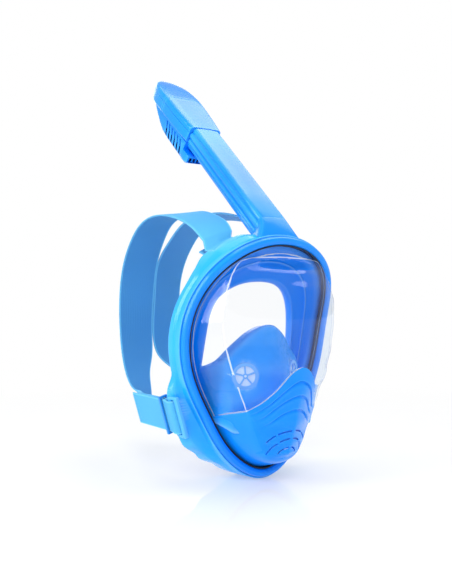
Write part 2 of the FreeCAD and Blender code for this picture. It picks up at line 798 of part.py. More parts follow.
def finish_neck(blank, keep_clear):
    """Bore the socket and cut the foot clear of the rim pieces."""
    tools = doc.addObject("Part::MultiFuse", "neck_tools")
    tools.Shapes = [plug_room("neck_socket", 60.0), keep_clear]
    cut = doc.addObject("Part::Cut", "neck_cut")
    cut.Base = blank
    cut.Tool = tools
    return sub_part(cut, "snorkel_neck")


def make_tube():
    body = new_body("snorkel_tube", snorkel_placement())
    width, depth, length = Dim("tube_width"), Dim("tube_depth"), Dim("tube_length")
    outline = new_sketch(body, "tube_outline")
    centred_rectangle(outline, width, 0.0, depth)
    barrel = pad(body, "tube_barrel", outline, length)
    front = round_edges(body, barrel, Dim("tube_front_radius"), lambda x, y: y < 1)
    round_edges(body, front, Dim("tube_rear_radius"), lambda x, y: y > depth.value - 1)
    for side in (-1, 1):
        name = "tube_bead_right" if side < 0 else "tube_bead_left"
        wide = new_sketch(body, name + "_wide")
        circle(wide, Dim("bead_radius"), (width / 2 - 3.2) * side, 9.5)
        pad(body, name + "_wide_pad", wide, length)
        slim = new_sketch(body, name + "_slim")
        circle(slim, Dim("bead_small_radius"), (width / 2 - 2.0) * side, 16.5)
        pad(body, name + "_slim_pad", slim, length)
    plug_front = (depth - Dim("plug_depth")) / 2
    plug = new_sketch(body, "tube_plug")
    centred_rectangle(plug, Dim("plug_width"), plug_front, Dim("plug_depth"))
    pad(body, "tube_plug_pad", plug, Dim("plug_length"), downward=True)
    groove = new_sketch(body, "tube_groove", -6.0)
    cut = Dim("seal_groove")
    centred_rectangle(groove, Dim("plug_width") + 2, plug_front - 1, Dim("plug_depth") + 2)
    inner_width, inner_depth = Dim("plug_width") - cut * 2, Dim("plug_depth") - cut * 2
    centred_rectangle(groove, inner_width, plug_front + cut, inner_depth)
    pocket(body, "tube_groove_cut", groove, Dim("seal_height") + 0.1)
    channels = new_sketch(body, "tube_channels", length)
    centred_rectangle(channels, Dim("channel_width"), plug_front + 2, Dim("plug_depth") - 4)
    pocket(body, "tube_middle_channel", channels, length + Dim("plug_length"))
    for side in (-1, 1):
        name = "tube_side_channel_right" if side < 0 else "tube_side_channel_left"
        flank = new_sketch(body, name, length)
        slot = Dim("side_channel_width")
        start = Dim("channel_width") / 2 + 2.0
        left = start if side > 0 else (start + slot) * -1
        rectangle(flank, left, plug_front + 3, slot, Dim("plug_depth") - 6)
        pocket(body, name + "_cut", flank, length + Dim("plug_length"))


def make_tube_seal():
    body = new_body("tube_seal", snorkel_placement())
    cut, gap = Dim("seal_groove"), Dim("plug_clearance")
    front = (Dim("tube_depth") - Dim("plug_depth")) / 2
    ring = new_sketch(body, "seal_ring", Dim("seal_height") * -1 - 6.05)
    reach = gap - 0.05
    width, depth = Dim("plug_width"), Dim("plug_depth")
    centred_rectangle(ring, width + reach * 2, front - reach, depth + reach * 2)
    centred_rectangle(ring, width - cut * 2, front + cut, depth - cut * 2)
    pad(body, "seal_pad", ring, Dim("seal_height"))


def make_cap_body():
    """Leaf-fronted box over the tube's end, with a floor over the air channels."""
    body = new_body("cap_body", snorkel_placement())
    start, seam, wall = Dim("tube_length") + 0.25, Dim("cap_seam"), Dim("cap_wall")
    foot = new_sketch(body, "cap_foot", start)
    rounded_section(foot, Dim("cap_foot_width"), -0.6, Dim("cap_depth") + 0.6, 4.0)
    top = new_sketch(body, "cap_top", seam)
    rounded_section(top, Dim("cap_width"), -0.6, Dim("cap_depth") + 0.6, 4.0)
    loft(body, "cap_loft", [foot, top])
    room = new_sketch(body, "cap_room", seam)
    centred_rectangle(room, Dim("cap_foot_width") - wall * 2 - 1, wall, Dim("cap_depth") - wall * 2)
    pocket(body, "cap_room_cut", room, seam - start - wall)
    intake = new_sketch(body, "cap_intake", start + wall)
    centred_rectangle(intake, Dim("channel_width"), 5.0, Dim("cap_depth") - 9)
    pocket(body, "cap_intake_cut", intake, wall + 1)
    for side in (-1, 1):
        name = "cap_outlet_right" if side < 0 else "cap_outlet_left"
        outlet = new_sketch(body, name, start + wall)
        left = 7.6 if side > 0 else -10.6
        rectangle(outlet, left, 5.5, 3.0, 10.0)
        pocket(body, name + "_cut", outlet, wall + 1)


CAP_LID_SECTIONS = [(0.0, 1.0, -0.6, 20.0), (0.33, 0.86, 0.8, 20.0), (0.66, 0.55, 3.0, 19.5),
                    (0.88, 0.28, 5.2, 16.5), (1.0, 0.12, 7.2, 12.6)]


def make_cap_lid():
    """Rounded tip: each section is a share of the way up, a share of the width,
    and where its front and back lie."""
    body = new_body("cap_lid", snorkel_placement())
    seam, tip = Dim("cap_seam") + 0.3, Dim("cap_tip")
    sections = []
    for k, (share, width, front, back) in enumerate(CAP_LID_SECTIONS):
        section = new_sketch(body, "lid_section_%d" % k, seam + (tip - seam) * share)
        radius = min(4.0, (back - front) * 0.35)
        rounded_section(section, Dim("cap_width") * width, front, back - front, radius)
        sections.append(section)
    loft(body, "lid_loft", sections)
    room = new_sketch(body, "lid_room", seam)
    centred_rectangle(room, Dim("cap_width") * 0.6, 4.0, 12.0)
    pocket(body, "lid_room_cut", room, 26.0, upward=True)


HOUSING_SIDE = [(150.0, 29.0), (163.6, 29.0), (163.6, 20.4), (262.0, 20.4), (252.0, 29.0),
                (238.0, 36.0), (222.0, 40.0), (205.0, 41.0), (150.0, 41.0)]


def make_housing():
    """Vent housing behind cap and tube, hollow, open below, slotted at the sides."""
    half = size("housing_width") / 2
    wall = size("cap_wall")
    place = snorkel_placement()

    def slab(outline, reach):
        points = [Vector(-reach, depth, along) for along, depth in outline]
        return Part.Face(Part.makePolygon(points + points[:1])).extrude(Vector(2 * reach, 0, 0))

    outer = slab(HOUSING_SIDE, half)
    edges = [e for e in outer.Edges if abs(abs(e.CenterOfMass.x) - half) < 0.01
             and e.CenterOfMass.y > 39.5]
    outer = outer.makeFillet(5.0, edges)
    room = [(149.0, 31.0), (166.5, 31.0), (166.5, 22.4), (250.0, 22.4), (236.0, 33.5),
            (220.0, 38.0), (205.0, 39.0), (149.0, 39.0)]
    outer = outer.cut(slab(room, half - wall))
    for k in range(6):
        low = 170.0 + 7.5 * k
        points = [Vector(-half - 5, 25.0, low + 5), Vector(-half - 5, 37.0, low),
                  Vector(-half - 5, 37.0, low + 2), Vector(-half - 5, 25.0, low + 7)]
        slot = Part.Face(Part.makePolygon(points + points[:1]))
        outer = outer.cut(slot.extrude(Vector(2 * half + 10, 0, 0)))
    outer.Placement = place
    return outer


def make_grille():
    """Barred plate in the housing's lower mouth."""
    body = new_body("inlet_grille", snorkel_placement())
    width = Dim("housing_width") - Dim("cap_wall") * 2 - 0.4
    plate = new_sketch(body, "grille_plate", 151.0)
    centred_rectangle(plate, width, 31.2, 7.6)
    pad(body, "grille_plate_pad", plate, 1.8)
    for k in range(6):
        bar = new_sketch(body, "grille_gap_%d" % k, 152.8)
        rectangle(bar, -14.5 + 5.0 * k, 32.4, 3.2, 5.2)
        pocket(body, "grille_gap_cut_%d" % k, bar, 2.5)


FLOAT_DEPTH = 30.8
FLOAT_LOW = 170.0


def make_float():
    body = new_body("float", snorkel_placement())
    outline = new_sketch(body, "float_outline", FLOAT_LOW)
    circle(outline, Dim("float_radius"), 0.0, FLOAT_DEPTH)
    pad(body, "float_pad", outline, Dim("float_length"))


def make_float_seal():
    body = new_body("float_seal", snorkel_placement())
    outline = new_sketch(body, "float_seal_outline", Dim("float_length") + FLOAT_LOW)
    circle(outline, Dim("float_radius") - 0.3, 0.0, FLOAT_DEPTH)
    pad(body, "float_seal_pad", outline, 1.6)


def make_float_seat():
    """Fixed ring that the float's pad closes at the top of its travel."""
    body = new_body("float_seat", snorkel_placement())
    low = Dim("float_length") + Dim("float_travel") + (FLOAT_LOW + 1.7)
    outline = new_sketch(body, "float_seat_outline", low)
    circle(outline, Dim("float_radius") + 1.2, 0.0, FLOAT_DEPTH)
    circle(outline, Dim("seat_opening"), 0.0, FLOAT_DEPTH)
    pad(body, "float_seat_pad", outline, 2.5)


def make_exhaust_flap(label, side):
    """Soft flap over one exhale outlet, hinged along its inner edge."""
    body = new_body(label, snorkel_placement())
    floor = Dim("tube_length") + Dim("cap_wall") + 0.3
    outline = new_sketch(body, label + "_outline", floor)
    left = 6.9 if side > 0 else -12.1
    rectangle(outline, left, 4.8, 5.2, 11.4)
    pad(body, label + "_pad", outline, 0.8)


CAP_SCREWS_ALONG = (214.0, 224.0)
CAP_SCREW_SHANK, CAP_SCREW_HEAD = 0.9, 1.7


def make_cap_screws():
    """Two screws that hold the housing to the cap."""
    place = snorkel_placement()
    back = Vector(0, 1, 0)
    screws = []
    for along in CAP_SCREWS_ALONG:
        shaft = Part.makeCylinder(CAP_SCREW_SHANK, 4.2, Vector(0, 18.4, along), back)
        head = Part.makeCylinder(CAP_SCREW_HEAD, 1.2, Vector(0, 22.6, along), back)
        screws.append(shaft.fuse(head))
    group = Part.makeCompound(screws)
    group.Placement = place
    return group


def cap_screw_holes(radius):
    holes = Part.makeCompound([
        Part.makeCylinder(radius, 6.0, Vector(0, 17.0, along), Vector(0, 1, 0))
        for along in CAP_SCREWS_ALONG])
    holes.Placement = snorkel_placement()
    return holes


# ---------------------------------------------------------------- straps

# Right strap between its lugs: outer edge, then inner edge, lower lug first.
STRAP_RUN = [
    ((-88.2, 92.0, 83.9), (-78.1, 92.0, 50.4)),
    ((-82.0, 106.0, 83.5), (-71.0, 104.0, 51.0)),
    ((-76.0, 119.0, 82.5), (-62.0, 117.0, 53.5)),
    ((-69.0, 142.0, 80.5), (-48.0, 142.0, 59.0)),
    ((-62.0, 165.0, 81.0), (-33.0, 170.0, 73.0)),
    ((-56.0, 190.0, 92.0), (-18.0, 200.0, 92.0)),
    ((-49.0, 216.0, 119.0), (-3.0, 221.0, 113.0)),
    ((-45.0, 229.0, 149.0), (-0.6, 226.0, 145.0)),
    ((-43.5, 232.0, 186.0), (-0.6, 222.0, 186.0)),
    ((-44.0, 223.0, 220.0), (-0.6, 213.0, 226.0)),
    ((-45.0, 204.0, 247.0), (-3.5, 190.0, 253.0)),
    ((-46.0, 180.0, 266.0), (-6.0, 168.0, 270.0)),
    ((-48.0, 132.0, 276.0), (-9.0, 125.0, 279.0)),
    ((-51.0, 90.0, 270.0), (-12.0, 90.0, 279.0)),
    ((-54.0, 57.0, 260.0), (-18.0, 54.0, 271.0)),
    ((-58.0, 33.0, 249.0), (-24.0, 26.0, 261.0)),
    ((-61.5, 16.0, 240.0), (-29.0, 12.0, 252.0)),
]


def bar_turn(lug, angles, radius_back, radius_out):
    """Centre-line points round the front of a strap bar."""
    points = []
    for angle in angles:
        turn = math.radians(angle)
        back = -size("lug_bar_depth") / 4 - radius_back * math.cos(turn)
        points.append(lug.at(back, radius_out * math.sin(turn)))
    return points


def strap_edges():
    """Both edges of the right strap, from the folded end to the upper sewn end."""
    half = size("strap_width") / 2
    layer = (size("strap_thickness") + size("strap_gap")) / 2
    around = size("lug_bar_thickness") / 2 + 0.6 + size("strap_thickness") / 2
    low, high = lower_lug, upper_lug
    outer_run = [low.at(back, layer) for back in (76.0, 58.0, 40.0, 22.0, 13.0)]
    spread = [low.at(7.0, layer + 0.9), low.at(3.0, around)]
    turn = bar_turn(low, (90, 60, 30, 0, -30, -60, -90), 4.6, around)
    gather = [low.at(3.0, -around), low.at(7.0, -layer - 0.9)]
    inner_run = [low.at(back, -layer) for back in (13.0, 22.0, 40.0)]
    lower = [(p - low.across * half, p + low.across * half)
             for p in outer_run + spread + turn + gather + inner_run]
    over = [high.at(8.5, around + 0.4), high.at(3.0, around)]
    back_turn = bar_turn(high, (90, 60, 30, 0, -30, -60, -90), 4.6, around)
    sewn = [high.at(3.5, -around), high.at(8.5, -1.9), high.at(13.0, 0.2), high.at(20.0, 3.2)]
    upper = [(p - high.across * half, p + high.across * half)
             for p in over + back_turn + sewn]
    return lower + smooth_run() + upper


def smooth_run():
    """The free part of the strap, as evenly spread pairs of edge points."""
    ticks = [float(k) for k in range(len(STRAP_RUN))]
    curves = []
    for side in (0, 1):
        curve = Part.BSplineCurve()
        curve.interpolate(Points=[Vector(*pair[side]) for pair in STRAP_RUN], Parameters=ticks)
        curves.append(curve)
    steps = 2 * (len(STRAP_RUN) - 1)
    return [(curves[0].value(k / 2), curves[1].value(k / 2)) for k in range(steps + 1)]


def make_strap():
    edges = strap_edges()
    middles = [(a + b) * 0.5 for a, b in edges]
    half = size("strap_thickness") / 2
    sections = []
    for k, (outer, inner) in enumerate(edges):
        forward = middles[min(k + 1, len(edges) - 1)] - middles[max(k - 1, 0)]
        normal = forward.cross(inner - outer).normalize() * half
        corners = [outer + normal, inner + normal, inner - normal, outer - normal]
        sections.append(Part.makePolygon(corners + corners[:1]))
    return Part.makeLoft(sections, True, True)


def make_slider(label, side):
    """A slim frame round both layers of the doubled strap."""
    centre = lower_lug.at(14.0, 0.0)
    along = Vector(0, 1, 0)
    if side > 0:
        centre = Vector(-centre.x, centre.y, centre.z)
    outward = Vector(lower_lug.outward.x * (-side), 0, lower_lug.outward.z)
    turn = Rotation(along.cross(outward), outward, along, "ZYX")
    body = new_body(label, Placement(centre, turn))
    wall, gap = Dim("slider_wall"), 0.55
    width = Dim("strap_width") + gap * 2
    height = Dim("strap_thickness") * 2 + Dim("strap_gap") + gap * 2
    frame = new_sketch(body, label + "_frame")
    left, low = (width / 2 + wall) * -1, (height / 2 + wall) * -1
    rectangle(frame, left, low, width + wall * 2, height + wall * 2)
    rectangle(frame, width * -0.5, height * -0.5, width, height)
    pad(body, label + "_pad", frame, Dim("slider_length"))


# ---------------------------------------------------------------- build

def keep_clear_feature():
    """The rim zone that bezel, lens and skirt flanges need, with a little air."""
    width, crown = size("bezel_width"), size("bezel_crown")
    back = FRAME_SEAT - 0.05
    outer = width + 0.25
    zone = rim_ring(lambda p: [(-4.0, -crown - 1), (0.5 * width, -crown - 0.3),
                               (0.9 * width, -crown + 1.0), (outer, -1.2),
                               (outer, back), (-4.0, back)])
    obj = doc.addObject("Part::Feature", "rim_zone")
    obj.Shape = zone
    return obj


def build_mask():
    shell = make_shell()
    chin = chin_region(0.0)
    thread = size("screw_shank") + 0.05
    bezel = rim_ring(bezel_profile).cut(screw_holes(thread, -2.0, 4.0)).cut(chin_flat())
    shape_part("front_bezel", bezel)
    holes = Part.makeCompound(flange_holes())
    shape_part("lens", shell.cut(chin_region(CHIN_SEAM)).cut(holes))
    shape_part("chin_cover", shell.common(chin).cut([vent_slot(*v) for v in VENT_SLOTS]).cut(holes))
    shape_part("lens_gasket", rim_ring(gasket_profile))
    shape_part("face_skirt", make_skirt())
    shape_part("orinasal_pocket", make_pocket())
    blank = make_neck()
    plug_space = plug_room("frame_plug_room", size("plug_length") + 1)
    doc.recompute()
    frame = rim_ring(frame_profile)
    mirror_lug = [mirrored(lug_clearance(lug)) for lug in (lower_lug, upper_lug)]
    frame = frame.cut([lug_clearance(lug) for lug in (lower_lug, upper_lug)] + mirror_lug)
    bars = [lug_bar(lug) for lug in (lower_lug, upper_lug)]
    frame = frame.fuse(bars + [mirrored(bar) for bar in bars])
    frame = frame.cut(screw_holes(size("screw_shank") + 0.35, 8, 13))
    frame = frame.cut(screw_holes(size("screw_head") + 0.4, SCREW_SEAT - 0.05, 20))
    frame = frame.cut([blank.Shape, plug_space.Shape, chin_flat()])
    shape_part("rear_frame", frame)
    finish_neck(blank, keep_clear_feature())
    shape_part("frame_screws", make_screws())


def build_valves():
    for side, name in ((-1, "right"), (1, "left")):
        place = valve_placement(side)
        make_valve_seat("inhale_valve_seat_" + name, "inhale", place)
        make_valve_disc("inhale_valve_disc_" + name, "inhale", place)
    make_valve_seat("drain_valve_seat", "drain", drain_placement())
    make_valve_disc("drain_valve_disc", "drain", drain_placement())


def build_snorkel():
    make_tube()
    make_tube_seal()
    make_cap_body()
    make_cap_lid()
    shape_part("vent_housing", make_housing().cut(cap_screw_holes(CAP_SCREW_SHANK + 0.1)))
    make_grille()
    make_float()
    make_float_seal()
    make_float_seat()
    make_exhaust_flap("exhaust_flap_right", -1)
    make_exhaust_flap("exhaust_flap_left", 1)
    shape_part("cap_screws", make_cap_screws())


def build_straps():
    strap = make_strap()
    shape_part("strap_right", strap)
    shape_part("strap_left", mirrored(strap))
    make_slider("strap_slider_right", -1)
    make_slider("strap_slider_left", 1)


def export_all():
    doc.recompute()
    faults = [o.Name for o in doc.Objects if "Invalid" in o.State or "Error" in o.State]
    for obj in sub_parts:
        if obj.Shape.isNull() or not obj.Shape.isValid() or not obj.Shape.Solids:
            faults.append(obj.Label)
    if faults:
        raise RuntimeError("failed: " + ", ".join(faults))
    for obj in sub_parts:
        obj.Shape.exportStep("parts/%s.step" % obj.Label)


build_mask()
build_valves()
build_snorkel()
build_straps()
export_all()
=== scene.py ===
import math

import bmesh
import bpy
import numpy as np
from mathutils import Matrix, Vector
from mathutils.kdtree import KDTree


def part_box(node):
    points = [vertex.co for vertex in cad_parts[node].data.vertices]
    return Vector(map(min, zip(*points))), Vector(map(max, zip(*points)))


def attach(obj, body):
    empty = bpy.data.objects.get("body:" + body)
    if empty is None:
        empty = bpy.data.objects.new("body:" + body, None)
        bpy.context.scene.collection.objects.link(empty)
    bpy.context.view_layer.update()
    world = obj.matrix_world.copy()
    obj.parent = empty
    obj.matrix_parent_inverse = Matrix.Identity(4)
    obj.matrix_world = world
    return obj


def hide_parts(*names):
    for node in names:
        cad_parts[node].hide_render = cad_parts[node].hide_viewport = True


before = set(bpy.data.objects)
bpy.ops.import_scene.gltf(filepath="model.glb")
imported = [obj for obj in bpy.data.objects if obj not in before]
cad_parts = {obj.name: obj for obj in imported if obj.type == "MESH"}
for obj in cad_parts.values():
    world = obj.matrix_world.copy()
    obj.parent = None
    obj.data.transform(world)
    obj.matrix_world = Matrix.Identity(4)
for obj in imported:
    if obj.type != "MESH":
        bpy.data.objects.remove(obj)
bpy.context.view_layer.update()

# Lengths below are in millimetres, in the CAD frame: X across the face, Y back
# to the wearer, Z up.  add_piece turns them into metres.
MM = 0.001
BACK = np.array([0.0, 1.0, 0.0])
MIRROR = np.array([-1, 1, 1])


def box_mm(node):
    low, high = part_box(node)
    return np.array(low) / MM, np.array(high) / MM


def unit(v):
    v = np.asarray(v, float)
    return v / np.linalg.norm(v)


def between(knots, place):
    """A smooth value between knots of (place, value), flat outside them."""
    if place <= knots[0][0]:
        return knots[0][1]
    for (low, first), (high, last) in zip(knots, knots[1:]):
        if place <= high:
            share = (place - low) / (high - low)
            return first + (last - first) * share * share * (3 - 2 * share)
    return knots[-1][1]


def smooth(low, high, value):
    """0 below low, 1 above high and a soft step between them."""
    share = min(max((value - low) / (high - low), 0), 1)
    return share * share * (3 - 2 * share)


# -------------------- curves

def cubic(start, end, leaving, arriving, t):
    """From start to end, with the speeds at which the curve leaves and arrives."""
    return (start * (2 * t ** 3 - 3 * t ** 2 + 1) + leaving * (t ** 3 - 2 * t ** 2 + t)
            + end * (3 * t ** 2 - 2 * t ** 3) + arriving * (t ** 3 - t ** 2))


def spline(points, count, closed=False, per_span=40):
    """Evenly spread points on the smooth cubic curve through the given ones."""
    knots = np.array(points, float)
    if closed:
        knots = np.vstack([knots, knots[:1]])
    total = len(knots)
    gap = np.maximum(np.linalg.norm(np.diff(knots, axis=0), axis=1), 1e-9)
    slope = np.diff(knots, axis=0) / gap[:, None]
    left = np.zeros((total, total))
    right = np.zeros(knots.shape)
    for k in range(1, total - 1):
        left[k, k - 1:k + 2] = gap[k], 2 * (gap[k - 1] + gap[k]), gap[k - 1]
        right[k] = 3 * (gap[k] * slope[k - 1] + gap[k - 1] * slope[k])
    if closed:
        left[0, total - 2] = gap[0]
        left[0, 0] = 2 * (gap[-1] + gap[0])
        left[0, 1] = gap[-1]
        right[0] = 3 * (gap[0] * slope[-1] + gap[-1] * slope[0])
        left[-1, 0], left[-1, -1] = 1, -1
    else:
        left[0, :2] = 2, 1
        right[0] = 3 * slope[0]
        left[-1, -2:] = 1, 2
        right[-1] = 3 * slope[-1]
    speed = np.linalg.solve(left, right)
    t = np.linspace(0, 1, per_span, endpoint=False)[:, None]
    fine = []
    for k in range(total - 1):
        fine.append(cubic(knots[k], knots[k + 1], speed[k] * gap[k], speed[k + 1] * gap[k], t))
    fine = np.vstack(fine + [knots[-1:]])
    along = np.concatenate([[0], np.cumsum(np.linalg.norm(np.diff(fine, axis=0), axis=1))])
    places = np.linspace(0, along[-1], count + 1 if closed else count)
    if closed:
        places = places[:-1]
    return np.stack([np.interp(places, along, fine[:, c]) for c in range(fine.shape[1])], 1)


def arc(centre, radius, first, last, steps):
    """Points on a circle's arc, in the plane, angles in degrees."""
    angles = np.radians(np.linspace(first, last, steps + 1))
    return [(centre[0] + radius * math.cos(a), centre[1] + radius * math.sin(a)) for a in angles]


def rounded(corners, steps=5):
    """A closed outline whose corners (x, y, radius) are arcs."""
    outline = []
    for k, (x, y, radius) in enumerate(corners):
        here = np.array([x, y])
        before = np.array(corners[k - 1][:2])
        after = np.array(corners[(k + 1) % len(corners)][:2])
        u, v = before - here, after - here
        reach = min(np.linalg.norm(u), np.linalg.norm(v)) * 0.49
        u, v = unit(u), unit(v)
        half_angle = math.acos(max(-1, min(1, float(u @ v)))) / 2
        cut = min(radius / max(math.tan(half_angle), 1e-3), reach)
        start, end = here + u * cut, here + v * cut
        for t in np.linspace(0, 1, steps + 1):
            outline.append(start * (1 - t) ** 2 + here * 2 * t * (1 - t) + end * t ** 2)
    return [tuple(p) for p in outline]


# -------------------- meshes

def grid_faces(rows, columns, wrap_rows=False, wrap_columns=False):
    faces = []
    for r in range(rows if wrap_rows else rows - 1):
        for c in range(columns if wrap_columns else columns - 1):
            right, above = (c + 1) % columns, (r + 1) % rows
            faces.append((r * columns + c, r * columns + right,
                          above * columns + right, above * columns + c))
    return faces


def add_object(name, data):
    obj = bpy.data.objects.new(name, data)
    bpy.context.scene.collection.objects.link(obj)
    return obj


def add_piece(name, points, faces, sharp=32, weld=0.02):
    """A mesh object from points in millimetres, welded where they are closer than weld."""
    mesh = bpy.data.meshes.new(name)
    mesh.from_pydata((np.asarray(points, float) * MM).tolist(), [], faces)
    obj = add_object(name, mesh)
    clean(obj, weld)
    shade(obj, sharp)
    return obj


def clean(obj, distance):
    """Weld close points, unless distance is 0, and turn every face outward."""
    work = bmesh.new()
    work.from_mesh(obj.data)
    if distance:
        bmesh.ops.remove_doubles(work, verts=work.verts, dist=distance * MM)
        bmesh.ops.dissolve_degenerate(work, edges=work.edges, dist=distance * MM / 4)
    bmesh.ops.recalc_face_normals(work, faces=work.faces)
    work.to_mesh(obj.data)
    work.free()


def shade(obj, sharp):
    obj.data.polygons.foreach_set("use_smooth", [True] * len(obj.data.polygons))
    obj.data.set_sharp_from_angle(angle=math.radians(sharp))
    obj.data.update()


def sweep(name, sections, closed=False, sharp=32, weld=0.02):
    """A skin over closed outlines that all have the same number of points."""
    rows, columns = len(sections), len(sections[0])
    faces = grid_faces(rows, columns, closed, True)
    if not closed:
        faces.append(tuple(range(columns))[::-1])
        faces.append(tuple(range((rows - 1) * columns, rows * columns)))
    return add_piece(name, np.array(sections, float).reshape(-1, 3), faces, sharp, weld)


def bake(obj):
    """Apply the modifiers that obj has."""
    graph = bpy.context.evaluated_depsgraph_get()
    made = bpy.data.meshes.new_from_object(obj.evaluated_get(graph))
    obj.modifiers.clear()
    old = obj.data
    obj.data = made
    bpy.data.meshes.remove(old)


def combine(obj, tool, operation, sharp=32):
    """Cut tool from obj, join it, or keep what they share; tool goes away."""
    step = obj.modifiers.new("combine", "BOOLEAN")
    step.operation = operation
    step.solver = "EXACT"
    step.object = tool
    bake(obj)
    bpy.data.objects.remove(tool)
    shade(obj, sharp)
    return obj


def cut(obj, tool, sharp=32):
    return combine(obj, tool, "DIFFERENCE", sharp)


def join(name, objects):
    """One object from several."""
    work = bmesh.new()
    for part in objects:
        work.from_mesh(part.data)
        bpy.data.objects.remove(part)
    mesh = bpy.data.meshes.new(name)
    work.to_mesh(mesh)
    work.free()
    return add_object(name, mesh)


def block(name, outline, span, place):
    """A flat outline (u, v) pushed through span along w; place maps (u, v, w)."""
    return sweep(name, [[place(u, v, w) for u, v in outline] for w in span])


def soften(obj, width):
    """Round the edges that are sharper than 40 degrees."""
    step = obj.modifiers.new("soften", "BEVEL")
    step.width = width * MM
    step.segments = 3
    step.limit_method = "ANGLE"
    step.angle_limit = math.radians(40)
    step.harden_normals = False
    bake(obj)
    shade(obj, 50)


def settle(obj, material, body, slot, stands_for=()):
    """Give a finished piece its material and its body; the slot argument is not used."""
    obj.data.materials.clear()
    obj.data.materials.append(material)
    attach(obj, body)
    if stands_for:
        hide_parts(*stands_for)
    return obj


# -------------------- rim curves

BEZEL_WIDTH = 10.5
LENS_SEAT, SKIRT_SEAT, FRAME_SEAT = 3.3, 6, 8.8
FLANGE = 2.5
SHELL = 2.2
bezel_low, bezel_high = box_mm("front_bezel")
SEAT_HALF = bezel_high[0] - BEZEL_WIDTH
SEAT_TOP = bezel_high[2] - BEZEL_WIDTH
SEAT_BOTTOM = bezel_low[2] + BEZEL_WIDTH

# Half of the lens seat, top to bottom: share of the half width, distance
# behind the origin, share of the height.
SEAT_SHAPE = [
    (0, -34, 1), (0.461, -31, 0.9645), (0.848, -16, 0.849), (1, 5, 0.663), (0.945, 12, 0.4545),
    (0.715, 10, 0.2594), (0.4, 2, 0.073), (0, -2, 0)]
# Half of the face opening: across, behind the origin, height.
OPENING_SHAPE = [
    (0, 5, 200), (26, 8, 196), (46, 17, 180), (53, 23, 150), (55, 31, 112), (52, 40, 79),
    (34, 33, 46), (0, 22, 34)]
# Half of the window's corner line: across, height.
CREASE_SHAPE = [
    (0, 224), (30, 223), (50, 219), (61, 204), (70, 176), (66.5, 135), (47.7, 86), (33, 50),
    (19, 27), (0, 22)]
# Front ridge of window and chin: height, distance in front of the origin.
RIDGE = [
    (16, 29), (24, 34), (34, 43.5), (45, 47.5), (67, 55), (101, 62.5), (122, 65), (165, 66),
    (190, 61), (205, 53), (224, 33)]
# Half width of the window's corner line at each height.
CREASE = [
    (14, 16), (30, 22), (50, 33), (75, 43), (86, 47.7), (110, 59.5), (135, 66.1), (159, 69.2),
    (180, 70), (196, 65), (208, 58.7), (218, 51.5)]
CREASE_SETBACK = 32
# How softly wall and front meet at each height.
CREASE_EASE = [(48, 9), (78, 1.3)]
# The fine line moulded round the window's foot: its two edges.
RIM_LINE = (6.6, 7.6)
# Half of the wavy line between chin cover and window: across, height.
CHIN_WAVE = [(0, 118), (9, 114.5), (20, 102), (31, 86), (42, 76), (54, 67.5), (66, 56.5), (95, 36)]


def mirrored_loop(half, count):
    """Evenly spread points round a closed loop, given the half with x above 0."""
    half = np.array(half, float)
    other = half[1:-1][::-1] * MIRROR
    return spline(np.vstack([half, other]), count, closed=True)


def mirrored_line(half, count):
    """Evenly spread points on a line across the face, given its half from the middle."""
    return spline([(-x, z) for x, z in half[:0:-1]] + half, count)


def loop_normals(loop):
    """Outward directions in the front view."""
    ahead = np.roll(loop, -1, axis=0) - np.roll(loop, 1, axis=0)
    normals = np.stack([-ahead[:, 2], np.zeros(len(loop)), ahead[:, 0]], 1)
    return normals / np.linalg.norm(normals, axis=1)[:, None]


def seat_loop(count):
    height = SEAT_TOP - SEAT_BOTTOM
    half = [(a * SEAT_HALF, y, SEAT_BOTTOM + height * c) for a, y, c in SEAT_SHAPE]
    loop = mirrored_loop(half, count)
    return loop, loop_normals(loop)


def rim_sweep(name, profile, count=200):
    """A ring along the seat; profile(height) gives (outward, back) pairs."""
    sections = [[point + normal * n + BACK * y for n, y in profile(point[2])]
                for point, normal in zip(*seat_loop(count))]
    return sweep(name, sections, closed=True)


def rest_flat(obj):
    """Cut off what lies under the resting plane."""
    below = block("below", [(-150, -120), (150, -120), (150, 180), (-150, 180)],
                  (-60, 0), lambda u, v, w: (u, v, w))
    return cut(obj, below)


# -------------------- bezel and gasket

def bezel_profile(_):
    return rounded([(-0.1, -1.4, 0.5), (1, -3.9, 1.2), (4.2, -5.9, 3.4), (7.2, -4.6, 2.6),
                    (8.4, -0.8, 1.4), (8.4, 8, 0.5), (6.9, 8, 0.3), (6.9, 3, 0.3),
                    (-0.1, 3, 0.3)], 4)


def gasket_profile(_):
    return rounded([(-1.25, -3, 0.3), (-0.15, -3, 0.3), (-0.15, 3.1, 0.2), (-1.25, 3.1, 0.2)], 2)


# -------------------- rear frame

# Rear frame wall at each height: how far back it runs, how far it flares.
FRAME_DEPTH = [
    (10, 34), (30, 32), (50, 24.5), (86, 24.5), (100, 22), (115, 17), (190, 18), (215, 27),
    (228, 27), (236, 24)]
FRAME_FLARE = [
    (8, 0), (22, 3), (36, 10.5), (52, 19), (60, 18.5), (72, 15.5), (93, 12.5), (114, 2.2),
    (204, 2.2), (215, 5.5), (231, 5.5), (236, 1.5)]
FRAME_WALL = 2.5


def frame_profile(height):
    """Flange behind the skirt, then a wall that runs back and flares at the lugs."""
    outer, seat, wall = BEZEL_WIDTH, FRAME_SEAT, FRAME_WALL
    depth = between(FRAME_DEPTH, height)
    middle = seat + 0.3 * (depth - seat)
    flare = between(FRAME_FLARE, height)
    bend = outer + 0.7 * flare
    edge = outer + flare
    return rounded([
        (2, seat, 0.3), (8.6, seat, 0.3), (8.6, 0.6, 0.3), (outer - 0.4, 0.4, 0.8),
        (outer, seat - 1, 2), (bend, middle, 7), (edge, depth - 1, 1.5),
        (edge - 1, depth, 1), (edge - wall, depth, 0.8), (bend - wall, middle + 1, 6),
        (outer - wall, seat + wall, 1), (2, seat + wall, 0.3)], 4)


